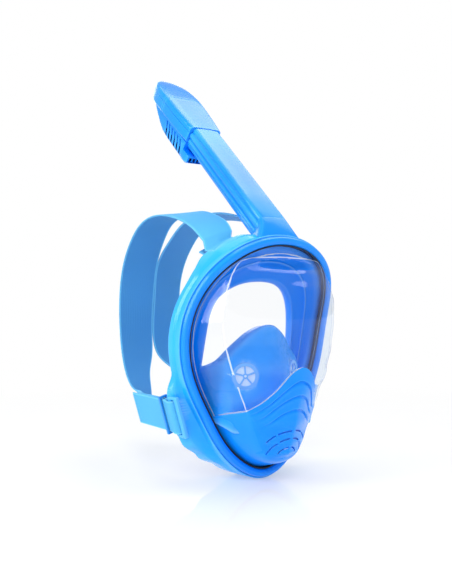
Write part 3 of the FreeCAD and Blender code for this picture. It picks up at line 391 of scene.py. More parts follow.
class Lug:
    """A strap bar: centre, the strap's width direction, outward normal, reach of its ears."""

    def __init__(self, centre, across, outward, ear):
        self.centre = np.array(centre, float)
        self.across = unit(across)
        self.outward = unit(outward)
        self.ear = ear

    def at(self, back, out, across=0):
        return self.centre + BACK * back + self.outward * out + self.across * across

    def place(self, across, back, out):
        return self.at(back, out, across)


lower_lug = Lug((-84.5, 31, 66.75), (0.286, 0, -0.958), (-0.958, 0, -0.286), 3.5)
upper_lug = Lug((-46.2, 0.5, 233.8), (0.905, 0, 0.425), (-0.425, 0, 0.905), 1)
LUG_SLOT_HALF = 18.1
LUG_SLOT_DEPTH = 4.8
LUG_BAR_DEPTH = 5.8
LUG_BAR_THICKNESS = 4
LUG_SLOT_FRONT = -LUG_BAR_DEPTH / 2 - LUG_SLOT_DEPTH


def box_outline(half, near, far, near_radius, far_radius, steps=4):
    """A rounded box across the middle line, from near to far."""
    return rounded([(-half, near, near_radius), (half, near, near_radius),
                    (half, far, far_radius), (-half, far, far_radius)], steps)


def lug_room(lug):
    """What strap and slot take out of the frame wall."""
    outline = box_outline(LUG_SLOT_HALF, LUG_SLOT_FRONT, 60, 2.5, 1)
    return block("room", outline, (-14, 14), lug.place)


def lug_plate(lug):
    """The strap bar with its two ears: a plate with a slot."""
    half = LUG_BAR_DEPTH / 2
    thick = LUG_BAR_THICKNESS / 2
    outer = box_outline(LUG_SLOT_HALF + lug.ear, LUG_SLOT_FRONT - 6, half + 1, 2, 4.5, 6)
    slot = box_outline(LUG_SLOT_HALF, LUG_SLOT_FRONT, -half, 1.2, 1.2)
    plate = block("plate", outer, (-thick, thick), lug.place)
    cut(plate, block("slot", slot, (-9, 9), lug.place))
    soften(plate, 0.9)
    return plate


def flip(obj):
    """Move obj to the other side."""
    obj.data.transform(Matrix.Scale(-1, 4, (1, 0, 0)))
    obj.data.flip_normals()
    return obj


def make_rear_frame():
    body = rim_sweep("rear_frame_shell", frame_profile, 240)
    for make, operation in ((lug_room, "DIFFERENCE"), (lug_plate, "UNION")):
        for lug in (lower_lug, upper_lug):
            combine(body, flip(make(lug)), operation)
            combine(body, make(lug), operation)
    return rest_flat(body)


# -------------------- window and chin

# The window ends this far above the chin's wavy line.
CHIN_GAP = 0.25
GROOVE_STEP = 13.7
GROOVE_DEPTH = 1.8
GROOVE_WIDTH = 1
# How far each wavy groove runs out from the ridge.
GROOVE_ENDS = (46, 38, 32)
WALL_SETBACK = 1.3
WALL_SHARES = np.linspace(0.5, 1, 5)[:-1]
FLANGE_REACH = 8


def wave_height(x):
    return float(np.interp(abs(x), WAVE_X, WAVE_Z))


wave_line = mirrored_line(CHIN_WAVE, 400)
WAVE_X, WAVE_Z = wave_line[200:, 0], wave_line[200:, 1]


def shell_front(x, z):
    """How far the outer face of window or chin lies in front of the origin."""
    height = between(RIDGE, z) - CREASE_SETBACK
    power = between([(70, 1.35), (120, 2)], z)
    share = min(abs(x) / between(CREASE, z), 1.25)
    return CREASE_SETBACK + height * (1 - share ** power)


def groove(x, z):
    """How deep the chin's wavy steps are at a place."""
    depth = 0
    for k, end in enumerate(GROOVE_ENDS, 1):
        down = (wave_height(x) - GROOVE_STEP * k + 0.02 * k * x * x / 4) - z
        width = 2.6 * GROOVE_WIDTH if down >= 0 else 0.5 * GROOVE_WIDTH
        depth += (1 - smooth(0.45 * end, end, abs(x))) * math.exp(-(down / width) ** 2)
    return GROOVE_DEPTH * depth


def front_point(x, z, carved):
    y = -shell_front(x, z)
    return (x, y + (groove(x, z) if carved else 0), z)


def ease_corner(corner, foot, front, reach):
    """Round the fold between wall and front: the wall's end, the front, the inner fold."""
    gaps = [np.linalg.norm(np.array(p) - corner) for p in front]
    last = next((k for k, gap in enumerate(gaps) if gap > reach), len(front) - 1)
    before = corner + unit(foot - corner) * reach
    after = np.array(front[last])
    places = [0, 0.25] + [0.5 + 0.5 * gaps[k] / gaps[last] for k in range(last)]
    eased = [before * (1 - t) ** 2 + corner * 2 * t * (1 - t) + after * t * t for t in places]
    middle = (before + after) / 4 + corner / 2
    inner = middle + unit((before + after) / 2 - corner) * SHELL * 1.1
    return eased[:2], eased[2:] + front[last:], inner


def shell_half(first, last, stations, steps, carved):
    """Half of window and chin together, between two shares of the rim's length."""
    full = 2 * stations
    rim, normals = seat_loop(full)
    crease = [(x, -shell_front(x, z), z) for x, z in CREASE_SHAPE]
    corners = mirrored_loop(crease, full)
    ridge_top, ridge_bottom = 219, 27
    low, high = CREASE_SHAPE[-1][1], CREASE_SHAPE[0][1]
    sections = []
    for k in range(int(first * stations), int(last * stations) + 1):
        base, out = rim[k].copy(), normals[k].copy()
        corner = corners[k].copy()
        if k in (0, stations):
            base[0] = corner[0] = out[0] = 0
        even = ridge_top - (ridge_top - ridge_bottom) * k / stations
        level = ridge_bottom + (ridge_top - ridge_bottom) * (corner[2] - low) / (high - low)
        ridge = 0.75 * level + 0.25 * even
        run = math.hypot(corner[0], ridge - corner[2])
        near = [min(0.2, 0.5 / run), min(0.4, 1.3 / run)]
        shares = np.append(near, np.linspace(near[1], 1, steps - 1)[1:])
        face = lambda s, carved: front_point(
            corner[0] * (1 - s), corner[2] + (ridge - corner[2]) * s, carved)
        front = [face(s, carved) for s in shares]
        reach = between(CREASE_EASE, corner[2])
        start = min(0.6, max(reach, 1.4 * SHELL) / run)
        back_face = [np.array(face(s, False)) + BACK * SHELL for s in start + (1 - start) * shares]
        foot = base - out * WALL_SETBACK + BACK * LENS_SEAT
        inner_foot = base - out * (WALL_SETBACK + SHELL) + BACK * (LENS_SEAT + FLANGE)
        bend, front, inner_corner = ease_corner(corner, foot, front, reach)
        wall = [foot + unit(corner - foot) * d for d in RIM_LINE]
        wall += [foot + (bend[0] - foot) * s for s in WALL_SHARES]
        inner_wall = [inner_foot + (inner_corner - inner_foot) * s for s in WALL_SHARES[::-1]]
        outside = [base + out * FLANGE_REACH + BACK * LENS_SEAT, foot] + wall + bend
        inside = [inner_corner] + inner_wall + [inner_foot]
        inside += [base + out * FLANGE_REACH + BACK * (LENS_SEAT + FLANGE)]
        sections.append(outside + front + back_face[::-1] + inside)
    return sections, len(outside) + len(front)


def make_shell(name, first, last, stations, steps, carved=False):
    """Window and chin as one closed shell, from its half and the mirror image."""
    sections, ridge_at = shell_half(first, last, stations, steps, carved)
    rows, columns = len(sections), len(sections[0])
    points = np.array(sections, float).reshape(-1, 3)
    faces = [f for f in grid_faces(rows, columns, False, True)
             if not (f[0] % columns == ridge_at - 1 and f[1] % columns == ridge_at)]
    if first > 0:
        faces.append(tuple(range(columns)))
    faces += [tuple(len(points) + v for v in f[::-1]) for f in faces]
    return add_piece(name, np.vstack([points, points * MIRROR]), faces, weld=0.002)


def upright(x, z, y):
    return (x, y, z)


def below_wave(lift):
    """Everything under the wavy line, as a cutting tool."""
    line = [(x, z + lift) for x, z in wave_line[::4]]
    outline = line + [(line[-1][0], -20), (line[0][0], -20)]
    return block("under_wave", outline, (-100, 40), upright)


VENT_CENTRE = (0, 27)
VENT_HALF_WIDTH = 0.9
# Vent slots round the drain: radius, first angle, last angle.
VENT_SLOTS = [
    (12, 30, 80), (12, 100, 150), (21, 15, 50), (21, 58, 84), (21, 96, 122), (21, 130, 165),
    (29, 38, 56), (29, 62, 85), (29, 95, 118), (29, 124, 142)]


def vent_tool(radius, first, last):
    cap = math.degrees(VENT_HALF_WIDTH / radius)
    outer = arc(VENT_CENTRE, radius + VENT_HALF_WIDTH, first, last, 10)
    inner = arc(VENT_CENTRE, radius - VENT_HALF_WIDTH, last, first, 10)
    ends = [arc(VENT_CENTRE, radius, a, a, 0)[0] for a in (last + cap, first - cap)]
    outline = outer + ends[:1] + inner + ends[1:]
    return block("vent", outline, (-75, -8), upright)


def make_window():
    shell = make_shell("window_shell", 0, 1, 110, 40)
    return cut(shell, below_wave(CHIN_GAP))


def make_chin():
    shell = make_shell("chin_shell", 0.5, 1, 420, 96, carved=True)
    combine(shell, below_wave(0), "INTERSECT")
    return cut(shell, join("vents", [vent_tool(*slot) for slot in VENT_SLOTS]))


# -------------------- skirt and pocket

# From the rim to the face opening: share of the way, and how far the soft
# wall stands behind the straight line.
SKIRT_SAG = [
    (0, 0), (0.14, 2.4), (0.3, 3.6), (0.36, 3.4), (0.38, 1.2), (0.43, 0.9), (0.45, 2.6), (0.6, 2.6),
    (0.76, 1), (0.88, -1.8), (0.92, -3), (0.97, -2.6), (1, 0)]
SKIRT_THICK = 2.5


def make_skirt():
    """Flange, soft wall with a raised edge round the opening, then the sealing lip."""
    count = 180
    edge = mirrored_loop(OPENING_SHAPE, count)
    sections = []
    for r, n, e, m in zip(*seat_loop(count), edge, loop_normals(edge)):
        start = r - n * 2.5 + BACK * SKIRT_SEAT
        front = [start + (e - start) * s + BACK * sag for s, sag in SKIRT_SAG]
        lip = e + m * 11 + BACK * 15
        curl = [e + m * 0.4 + BACK * 3, e + m * 3.4 + BACK * 8.5, lip]
        tip = [lip + m * 1.6 + BACK * 0.4, lip + m * SKIRT_THICK - BACK * 1]
        under = [e + m * 6.2 + BACK * 7, e + m * 4.4 + BACK * 3.6]
        behind = [start + (e - start) * s + BACK * (sag + SKIRT_THICK)
                  for s, sag in SKIRT_SAG[8::-1]]
        root = [r + n * FLANGE_REACH + BACK * (SKIRT_SEAT + d) for d in (SKIRT_THICK, 0)]
        sections.append(front + curl + tip + under + behind + root)
    skirt = sweep("face_skirt_soft", sections, closed=True, sharp=60)
    step = skirt.modifiers.new("round", "SUBSURF")
    step.levels = 1
    step.render_levels = 1
    bake(skirt)
    shade(skirt, 60)
    return skirt


POCKET_RIDGE = [(60, -35), (80, -33), (107, -27), (135, -19), (160, -14)]
POCKET_ARCH = [(0, 157), (20, 148), (40, 128), (60, 111)]
POCKET_HALF = 60
POCKET_THICK = 3
CHEEK_TURN = 44
VALVE_X, VALVE_Z = 30, 107
VALVE_BORE = 13.1


def pocket_front(x, z):
    """Distance behind the origin of the pocket's two slanted cheeks."""
    turn = max(0, (abs(x) - CHEEK_TURN) / (POCKET_HALF - CHEEK_TURN))
    return between(POCKET_RIDGE, z) + 0.7 * (math.hypot(x, 14) - 14) + 32 * turn ** 2


pocket_arch = mirrored_line(POCKET_ARCH, 200)


def pocket_top(x):
    return float(np.interp(x, pocket_arch[:, 0], pocket_arch[:, 1]))


def pocket_foot(x):
    return 52 + max(0, abs(x) - CHEEK_TURN) * 0.9


def make_pocket():
    """Cheeks up to the nose arch, rolled over its top and back to the face."""
    sections = []
    for x in np.linspace(-POCKET_HALF, POCKET_HALF, 81):
        top, foot = pocket_top(x), pocket_foot(x)
        crest = top - 3.2
        front = [(pocket_front(x, z), z) for z in np.linspace(foot, crest, 22)]
        y = front[-1][0]
        roll = [(y + 0.9, crest + 1.9), (y + 2.9, crest + 3.1), (y + 7, crest + 3),
                (y + 12.5, crest + 2), (y + 18, crest + 1.4)]
        tuck = [(b + 0.2, c - POCKET_THICK) for b, c in roll[:0:-1]]
        inner = [(pocket_front(x, z) + POCKET_THICK, z - 1.2)
                 for z in np.linspace(crest, foot + 1.2, 22)]
        sections.append([(x, b, c) for b, c in front + roll + tuck + inner])
    pocket = sweep("orinasal_pocket_soft", sections, sharp=70)
    for side, word in ((-1, "right"), (1, "left")):
        cut(pocket, valve_bore("inhale_valve_seat_" + word, valve_normal(side)), 40)
    return pocket


def valve_normal(side):
    """The inhale valve's axis: square to the pocket's cheek."""
    x = side * VALVE_X
    slope = (pocket_front(x + 1, VALVE_Z) - pocket_front(x - 1, VALVE_Z)) / 2
    lean = (pocket_front(x, VALVE_Z + 1) - pocket_front(x, VALVE_Z - 1)) / 2
    return unit((-slope, 1, -lean))


def valve_bore(seat, axis):
    """A round cutter for the hole that holds a valve seat."""
    low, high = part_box(seat)
    centre = (np.array(low) + np.array(high)) / 2 / MM
    u = unit(np.cross(axis, (0.3, 0.2, 1)))
    v = np.cross(axis, u)
    ring = arc((0, 0), VALVE_BORE, 0, 360 - 7.5, 47)
    return block("bore", ring, (-12, 12), lambda a, b, w: centre + u * a + v * b + axis * w)


# -------------------- snorkel

TILT = math.radians(48)
SEAM = np.array([0.0, -19.0, 264.5])
ALONG = np.array([0.0, math.sin(TILT), math.cos(TILT)])
DEEP = np.array([0.0, math.cos(TILT), -math.sin(TILT)])
ACROSS = np.array([1.0, 0.0, 0.0])
# Edges sharper than this, in degrees, stay crisp.
SNORKEL_SHARP = 38
TUBE_LENGTH = 162
TUBE_HALF, TUBE_DEEP = 17, 27
# The side beads: across, depth, radius.
WIDE_BEAD, SLIM_BEAD = (13.8, 9.5, 4.6), (15, 16.5, 2.8)
NECK_HALF = 29.5
CAP_SEAM = 228
CAP_TIP = 288


def snorkel(x, depth, along):
    """A point from the snorkel's own frame."""
    return SEAM + ACROSS * x + DEEP * depth + ALONG * along


def snorkel_ring(outline, along):
    return [snorkel(x, depth, along) for x, depth in outline]


def both_sides(half):
    """A closed outline from its half with x above 0, front to back."""
    return half + [(-x, d) for x, d in half[::-1] if abs(x) > 1e-6]


def tube_outline(beads=True):
    half = [(0, -0.5), (5, -0.46), (10, -0.15)] + arc((12.6, 3.9), 4, -82, -15, 6)
    if beads:
        half += arc(WIDE_BEAD[:2], WIDE_BEAD[2], -58, 58, 12)
        half += arc(SLIM_BEAD[:2], SLIM_BEAD[2], -50, 58, 8)
    else:
        half += [(16.9, 5.5)] + [(TUBE_HALF, d) for d in (8.5, 11.5, 14.5)]
        half += [(TUBE_HALF, 16 + k * 0.2) for k in range(18)]
    half += [(TUBE_HALF, 20.2)] + arc((8.6, 18.6), 8.4, 8, 82, 8)
    half += [(4, TUBE_DEEP), (0, TUBE_DEEP)]
    return both_sides(half)


def make_tube():
    """The tube with its plug and the mouths of its three air channels."""
    outline = tube_outline()
    foot = [(x * 0.985, 13.5 + (d - 13.5) * 0.985) for x, d in outline]
    sections = [snorkel_ring(foot, 0.15)]
    sections += [snorkel_ring(outline, s) for s in (0.5, 40, 80, 120, TUBE_LENGTH)]
    tube = sweep("snorkel_tube_shell", sections, sharp=SNORKEL_SHARP)
    combine(tube, make_plug(), "UNION", SNORKEL_SHARP)
    for x, half in ((0, 5), (-9.8, 2.4), (9.8, 2.4)):
        mouth = [(x - half, 6.5), (x + half, 6.5), (x + half, 20.5), (x - half, 20.5)]
        cut(tube, block("channel", mouth, (-20, 6), snorkel), SNORKEL_SHARP)
    return tube


PLUG_HALF = 14.5
PLUG_FRONT, PLUG_BACK = 3.5, 23.5
PLUG_LENGTH = 14
SEAL_GROOVE = 0.9


def plug_ring(inset, along):
    """The plug's rounded outline, drawn in by an inset."""
    outline = box_outline(PLUG_HALF - inset, PLUG_FRONT + inset, PLUG_BACK - inset, 1.5, 1.5)
    return snorkel_ring(outline, along)


def plug_shape(name, rows):
    """A block like the plug, from (inset, place along the tube)."""
    return sweep(name, [plug_ring(*row) for row in rows])


def make_plug():
    """The tube's plug, with the groove that holds its seal."""
    return plug_shape("plug", [
        (2.4, -PLUG_LENGTH), (0, -PLUG_LENGTH + 3), (0, -8.2), (SEAL_GROOVE, -8.15),
        (SEAL_GROOVE, -6), (0, -5.95), (0, 1)])


def neck_foot_outline(outline):
    """Where each point of the tube's section comes down on the frame."""
    points = []
    for x, d in outline:
        share = abs(x) / TUBE_HALF
        wide = math.copysign(NECK_HALF * share ** 0.8, x)
        y = -31.5 + (d / TUBE_DEEP) * 23.5
        points.append(np.array([wide, y, 243.0 - 3.4 * share * share - 0.05 * d]))
    return points


def make_neck():
    """A flared root: tangent to the tube at the seam, spreading on to the frame."""
    outline = tube_outline(beads=False)
    feet = neck_foot_outline(outline)
    tops = snorkel_ring([(x * 0.995, d * 0.998 + 0.03) for x, d in outline], -0.15)
    sections = [[cubic(top, foot, -ALONG * 17.0, np.array([foot[0] * 0.55, -3.0, -15.0]), t)
                 for top, foot in zip(tops, feet)] for t in np.linspace(0, 1, 25)]
    neck = sweep("snorkel_neck_flare", sections, sharp=SNORKEL_SHARP)
    socket = [(2.2, -PLUG_LENGTH - 0.3), (-0.3, -PLUG_LENGTH + 2.9), (-0.3, 2)]
    cut(neck, plug_shape("socket", socket), SNORKEL_SHARP)
    cut(neck, plug_shape("airway", [(6, -60), (6, -PLUG_LENGTH)]), SNORKEL_SHARP)
    for side in (-1, 1):
        for (x, depth, radius), length in ((WIDE_BEAD, 7.5), (SLIM_BEAD, 4)):
            combine(neck, bead_end(x * side, depth, radius, length), "UNION", SNORKEL_SHARP)
    return neck


def bead_end(x, depth, radius, length):
    """The rounded end of a side bead, just below the seam."""
    steps = [(1, -0.16), (1, -length * 0.5)]
    steps += [(math.cos(a), -length * 0.5 - radius * 0.9 * math.sin(a))
              for a in np.radians(np.linspace(15, 84, 6))]
    rings = [[snorkel(x + radius * scale * u, depth + radius * scale * v, along)
              for u, v in arc((0, 0), 1, 0, 345, 23)] for scale, along in steps]
    return sweep("bead_end", rings, sharp=60)


# Cap sections: along the tube, half width, front and back.
CAP_SECTIONS = [
    (162.3, 20, -0.7, 20), (175, 21.6, -0.7, 20), (192, 23.2, -0.7, 20), (208, 24.2, -0.7, 20),
    (228, 24.6, -0.7, 20), (241, 24, 0, 20.6), (254, 22.2, 1, 22.2), (264, 19.4, 2.2, 22.8),
    (273, 15.6, 3.8, 22), (280, 11.6, 5.6, 20.6), (285, 7.8, 7.6, 18.8), (288, 4.6, 9.4, 17)]


def cap_outline(half, front, back):
    """Crowned front, a rounded shoulder, a thin groove, then the side."""
    deep = back - front
    edge = min(4.2, half * 0.4, deep * 0.3)
    mid = front + deep * 0.36
    cut = min(0.55, half * 0.1)
    gap = min(1, deep * 0.06)
    side = [(0, front - 0.4), (half * 0.5, front - 0.28)]
    side += arc((half - edge, front + edge), edge, -80, -8, 6)
    side += [(half, mid - gap), (half, mid - gap * 0.4), (half - cut, mid), (half, mid + gap * 0.4),
             (half, mid + gap)]
    side += arc((half - edge, back - edge), edge, 5, 86, 6) + [(0, back)]
    return both_sides(side)


def cap_sections(first, last, count):
    line = spline(CAP_SECTIONS, 240)
    sections = []
    for along in np.linspace(first, last, count):
        sizes = [np.interp(along, line[:, 0], line[:, c]) for c in (1, 2, 3)]
        sections.append(snorkel_ring(cap_outline(*sizes), along))
    return sections


def make_cap():
    sections = cap_sections(TUBE_LENGTH + 1.1, CAP_SEAM - 0.1, 22)
    return sweep("cap_shell", sections, sharp=SNORKEL_SHARP)


def make_lid():
    sections = cap_sections(CAP_SEAM + 0.45, CAP_TIP, 26)
    middle = np.mean(sections[-1], axis=0)
    for share, rise in ((0.8, 1.3), (0.5, 2.5), (0.2, 3)):
        sections.append([middle + (point - middle) * share + ALONG * rise
                         for point in sections[25]])
    return sweep("cap_lid_shell", sections, sharp=SNORKEL_SHARP)


# Housing sections: along the tube, half width, front and back.
HOUSING_SECTIONS = [
    (149.5, 18.2, 29.5, 38), (155, 18.8, 29.2, 41.2), (163.3, 19.2, 28.8, 41.6),
    (163.5, 19.2, 20.3, 41.6), (205, 19.4, 20.3, 41.6), (219, 19.2, 20.3, 41),
    (231, 19, 20.3, 37.6), (241, 18.6, 20.3, 33.2), (249.5, 18, 20.3, 29.2), (257, 17, 20.3, 25.8),
    (262, 16, 20.3, 23.6)]
HOUSING_EDGE = 7
# The hollow inside the housing, in the same way.
HOUSING_ROOM = [
    (145, 16.4, 31.6, 37), (166.4, 17, 31.4, 39.4), (166.6, 17, 22.4, 39.4), (219, 17, 22.4, 38.6),
    (241, 15.4, 22.4, 30.4), (248, 14.4, 22.4, 26.6)]
SLOT_COUNT = 6
SLOT_PITCH = 7.8
SLOT_WIDTH = 3.2


def housing_shape(name, rows, sharp=32):
    """A rounded block from rows of (along, half width, front, back)."""
    rings = []
    for along, half, front, back in rows:
        edge = min(HOUSING_EDGE, (back - front) * 0.45)
        rings.append(snorkel_ring(box_outline(half, front, back, 0.6, edge, 6), along))
    return sweep(name, rings, sharp=sharp)


def housing_slot(k):
    """A curved slot through both sides of the housing."""
    low = 167.5 + SLOT_PITCH * k
    front, back = 23.5, 38.5
    edge = [(low + 7 * (1 - t) ** 1.6, front + (back - front) * t) for t in np.linspace(0, 1, 9)]
    outline = edge + [(s + SLOT_WIDTH, d) for s, d in edge[::-1]]
    return block("slot", outline, (-25, 25), lambda u, v, w: snorkel(w, v, u))


def make_housing():
    """A hollow, rounded hood behind the cap, open at its lower end."""
    hood = housing_shape("vent_hood", HOUSING_SECTIONS, 45)
    cut(hood, housing_shape("room", HOUSING_ROOM))
    return cut(hood, join("slots", [housing_slot(k) for k in range(SLOT_COUNT)]), 45)


def paint_room_shade(hood):
    """The hood's inside is painted dark navy: painted shade."""
    hood.data.materials.append(hood_shade_navy)
    line = np.array(HOUSING_SECTIONS)
    for face in hood.data.polygons:
        place = np.array(face.center) / MM - SEAM
        along, depth = place @ ALONG, place @ DEEP
        half, back = [np.interp(along, line[:, 0], line[:, c]) for c in (1, 3)]
        floor = 21.2 if along > 165 else 30.6
        if abs(place[0]) < half - 1.2 and floor < depth < back - 1.2 and along > 150:
            face.material_index = 1


# -------------------- straps

# Right strap between its lugs: outer edge, then inner edge, lower lug first.
STRAP_RUN = [
    (-88.2, 92, 83.9, -78.1, 92, 50.4), (-82, 106, 83.5, -71, 104, 51),
    (-76, 119, 82.5, -62, 117, 53.5), (-69, 142, 80.5, -48, 142, 59), (-62, 165, 81, -33, 170, 73),
    (-56, 190, 92, -18, 200, 92), (-49, 216, 119, -3, 221, 113), (-45, 229, 149, 0, 226, 145),
    (-43.5, 232, 186, 0, 222, 186), (-44, 223, 220, 0, 213, 226), (-45, 204, 247, -3.5, 190, 253),
    (-46, 180, 266, -6, 168, 270), (-48, 132, 276, -9, 125, 279), (-51, 90, 270, -12, 90, 279),
    (-54, 57, 260, -18, 54, 271), (-58, 33, 249, -24, 26, 261), (-61.5, 16, 240, -29, 12, 252)]
STRAP_HALF_WIDTH = 17.5
STRAP_THICK = 2
STRAP_GAP = 0.8
# The weave map keeps the strap's two faces and its edges this far apart.
SIDE_STEP = 100
BAR_SIDE = LUG_BAR_THICKNESS / 2 + 0.6 + STRAP_THICK / 2


def bar_turn(lug):
    """Centre-line points round the front of a strap bar."""
    turns = [math.radians(angle) for angle in range(90, -91, -15)]
    return [lug.at(-LUG_BAR_DEPTH / 4 - 4.6 * math.cos(turn), BAR_SIDE * math.sin(turn))
            for turn in turns]


def lug_run(lug, points):
    half = lug.across * STRAP_HALF_WIDTH
    return [(p - half, p + half) for p in points]


def strap_edges():
    """Both edges of the right strap, from the folded end to the upper sewn end."""
    layer = (STRAP_THICK + STRAP_GAP) / 2
    low, high = lower_lug, upper_lug
    end = [low.at(back, layer) for back in range(76, 12, -9)]
    spread = [low.at(9.5, layer + 0.3), low.at(6, layer + 1.1), low.at(3, BAR_SIDE)]
    gather = [low.at(3, -BAR_SIDE), low.at(6, -layer - 1.1), low.at(9.5, -layer - 0.3)]
    inner = [low.at(back, -layer) for back in (13, 22, 31, 40, 52)]
    lower = lug_run(low, end + spread + bar_turn(low) + gather + inner)
    over = [high.at(8.5, BAR_SIDE + 0.4), high.at(3, BAR_SIDE)]
    sewn = [high.at(3.5, -BAR_SIDE), high.at(8.5, -1.9), high.at(13, 0.2), high.at(20, 3.2)]
    upper = lug_run(high, over + bar_turn(high) + sewn)
    return lower + [(p[:3], p[3:]) for p in spline(STRAP_RUN, 96)] + upper


def strap_band(name, edges, columns=7):
    """A flat band between two edges, with thickness and a map for its weave."""
    middles = np.array([(a + b) / 2 for a, b in edges])
    steps = np.linalg.norm(np.diff(middles, axis=0), axis=1)
    along = np.concatenate([[0], np.cumsum(steps)])
    half = STRAP_THICK / 2
    points, places = [], []
    for k, (outer, inner) in enumerate(edges):
        forward = middles[min(k + 1, len(edges) - 1)] - middles[max(k - 1, 0)]
        normal = unit(np.cross(forward, inner - outer))
        across = unit(inner - outer)
        ring = [(s, half) for s in np.linspace(0, 1, columns)]
        ring += [(1, 0)] + [(s, -half) for s in np.linspace(1, 0, columns)] + [(0, 0)]
        for s, out in ring:
            pinch = 0.45 if s in (0, 1) and out else 0
            shift = across * pinch * (1 if s == 0 else -1)
            points.append(outer + (inner - outer) * s + normal * out * (1 - pinch * 0.3) + shift)
            side = 0 if out > 0 else SIDE_STEP if out < 0 else 2 * SIDE_STEP
            places.append((along[k], side + s * 2 * STRAP_HALF_WIDTH))
    band = 2 * columns + 2
    faces = grid_faces(len(edges), band, False, True)
    faces.append(tuple(range(band))[::-1])
    faces.append(tuple(range((len(edges) - 1) * band, len(edges) * band)))
    strap = add_piece(name, points, faces, sharp=50, weld=0)
    weave = strap.data.uv_layers.new(name="weave")
    for loop in strap.data.loops:
        weave.data[loop.index].uv = [c * MM for c in places[loop.vertex_index]]
    return strap


STITCH_LENGTH = 2.4
STITCH_PITCH = 3.4


def stitch_rows(name):
    """Rows of thread that hold the folded end down."""
    stitches = []
    layer = (STRAP_THICK + STRAP_GAP) / 2 + STRAP_THICK / 2
    for back in (70, 74):
        place = -STRAP_HALF_WIDTH + 2.5
        while place < STRAP_HALF_WIDTH - 2.5:
            start, end = [lower_lug.at(back, layer, p) for p in (place, place + STITCH_LENGTH)]
            stitches.append(thread(start, end, lower_lug.outward))
            place += STITCH_PITCH
    return join(name, stitches)


def thread(start, end, outward):
    """One stitch: a small arched strand."""
    rings = []
    for t in np.linspace(0, 1, 6):
        middle = start * (1 - t) + end * t + outward * (0.34 * math.sin(math.pi * t) - 0.06)
        radius = 0.24 * (0.6 + 0.4 * math.sin(math.pi * t))
        rings.append([middle + BACK * radius * u + outward * radius * v
                      for u, v in arc((0, 0), 1, 0, 300, 5)])
    return sweep("thread", rings, sharp=60)


# -------------------- materials

class Shader:
    """A short way to write a node tree."""

    def __init__(self, name):
        self.material = bpy.data.materials.new(name)
        self.material.use_nodes = True
        self.tree = self.material.node_tree
        self.tree.nodes.clear()
        self.output = self.tree.nodes.new("ShaderNodeOutputMaterial")

    def node(self, kind, inputs=None, **settings):
        made = self.tree.nodes.new("ShaderNode" + kind)
        for key, value in settings.items():
            setattr(made, key, value)
        for key, value in (inputs or {}).items():
            self.feed(made, key, value)
        return made

    def feed(self, node, key, value):
        socket = node.inputs[key]
        if isinstance(value, bpy.types.NodeSocket):
            self.tree.links.new(value, socket)
        elif isinstance(value, bpy.types.Node):
            self.tree.links.new(value.outputs[0], socket)
        else:
            socket.default_value = value

    def maths(self, operation, first, second=0):
        return self.node("Math", {0: first, 1: second}, operation=operation).outputs[0]

    def times(self, first, second):
        return self.maths("MULTIPLY", first, second)

    def plus(self, first, second):
        return self.maths("ADD", first, second)

    def step(self, value, low, high):
        """Black below low, white above high."""
        return self.ramp(value, [(low, (0, 0, 0, 1)), (high, (1, 1, 1, 1))])

    def mix(self, share, first, second):
        made = self.node("Mix", {0: share, 6: first, 7: second}, data_type="RGBA")
        return made.outputs[2]

    def ramp(self, value, stops):
        made = self.node("ValToRGB", {0: value})
        ramp = made.color_ramp
        while len(ramp.elements) < len(stops):
            ramp.elements.new(0.5)
        for element, (place, colour) in zip(ramp.elements, stops):
            element.position = place
            element.color = colour
        return made.outputs[0]

    def noise(self, scale, detail=3, roughness=0.5, vector=None):
        inputs = {"Scale": scale, "Detail": detail, "Roughness": roughness}
        inputs["Vector"] = vector or self.place()
        return self.node("TexNoise", inputs).outputs["Fac"]

    def place(self):
        return self.node("TexCoord").outputs["Object"]

    def bump(self, height, strength, distance, under=None):
        inputs = {"Height": height, "Strength": strength, "Distance": distance * MM}
        if under is not None:
            inputs["Normal"] = under
        return self.node("Bump", inputs).outputs[0]

    def finish(self, surface):
        self.feed(self.output, "Surface", surface)
        return self.material

    def principled(self, **inputs):
        """The finished material; Base_Color stands for Base Color, and so on."""
        inputs = {key.replace("_", " "): value for key, value in inputs.items()}
        return self.finish(self.node("BsdfPrincipled", inputs))


def rgb(red, green, blue):
    """A colour given as it looks on a screen, 0 to 255."""
    def linear(c):
        c /= 255
        return c / 12.92 if c <= 0.04045 else ((c + 0.055) / 1.055) ** 2.4
    return (linear(red), linear(green), linear(blue), 1)


# Reflections seen straight on take the plastic's own tint.
BLUE_GLINT = (0.38, 0.6, 1, 1)
SOFT_GLINT = (0.04, 0.5, 1, 1)
CLEAR_GLINT = (1, 1, 1, 1)
# Pale blue painted on silicone edges as a painted highlight.
EDGE_HIGHLIGHT_PAINT = rgb(150, 205, 255)


def edge_wear_and_highlight(shader):
    """1 on sharp outer edges, 0 elsewhere: edges painted paler, as wear and as painted highlight.
    """
    point = shader.node("NewGeometry").outputs["Pointiness"]
    return shader.step(point, 0.5, 0.56)


def gloss_plastic(name, base, deep, light, roughness=0.16, grain=0.012, glint=BLUE_GLINT):
    """Moulded glossy plastic: clouded tint, pale edges painted as wear and as painted highlight,
    fine orange peel.
    """
    s = Shader(name)
    cloud = s.noise(14, 2)
    tint = s.mix(s.step(cloud, 0.35, 0.7), deep, base)
    # Sharp edges painted towards the light colour: wear and painted highlight.
    worn_and_lit_edge = s.times(edge_wear_and_highlight(s), 0.45)
    colour = s.mix(worn_and_lit_edge, tint, light)
    fine = s.noise(900, 2)
    rough = s.plus(roughness, s.times(s.noise(60, 4), 0.08))
    peel = s.bump(fine, grain, 0.05)
    swirl = s.bump(s.noise(45, 1), 0.04, 0.6, peel)
    return s.principled(Base_Color=colour, Roughness=rough, Normal=swirl, IOR=1.5,
                        Specular_Tint=glint, Coat_Weight=0.06, Coat_Roughness=0.05)


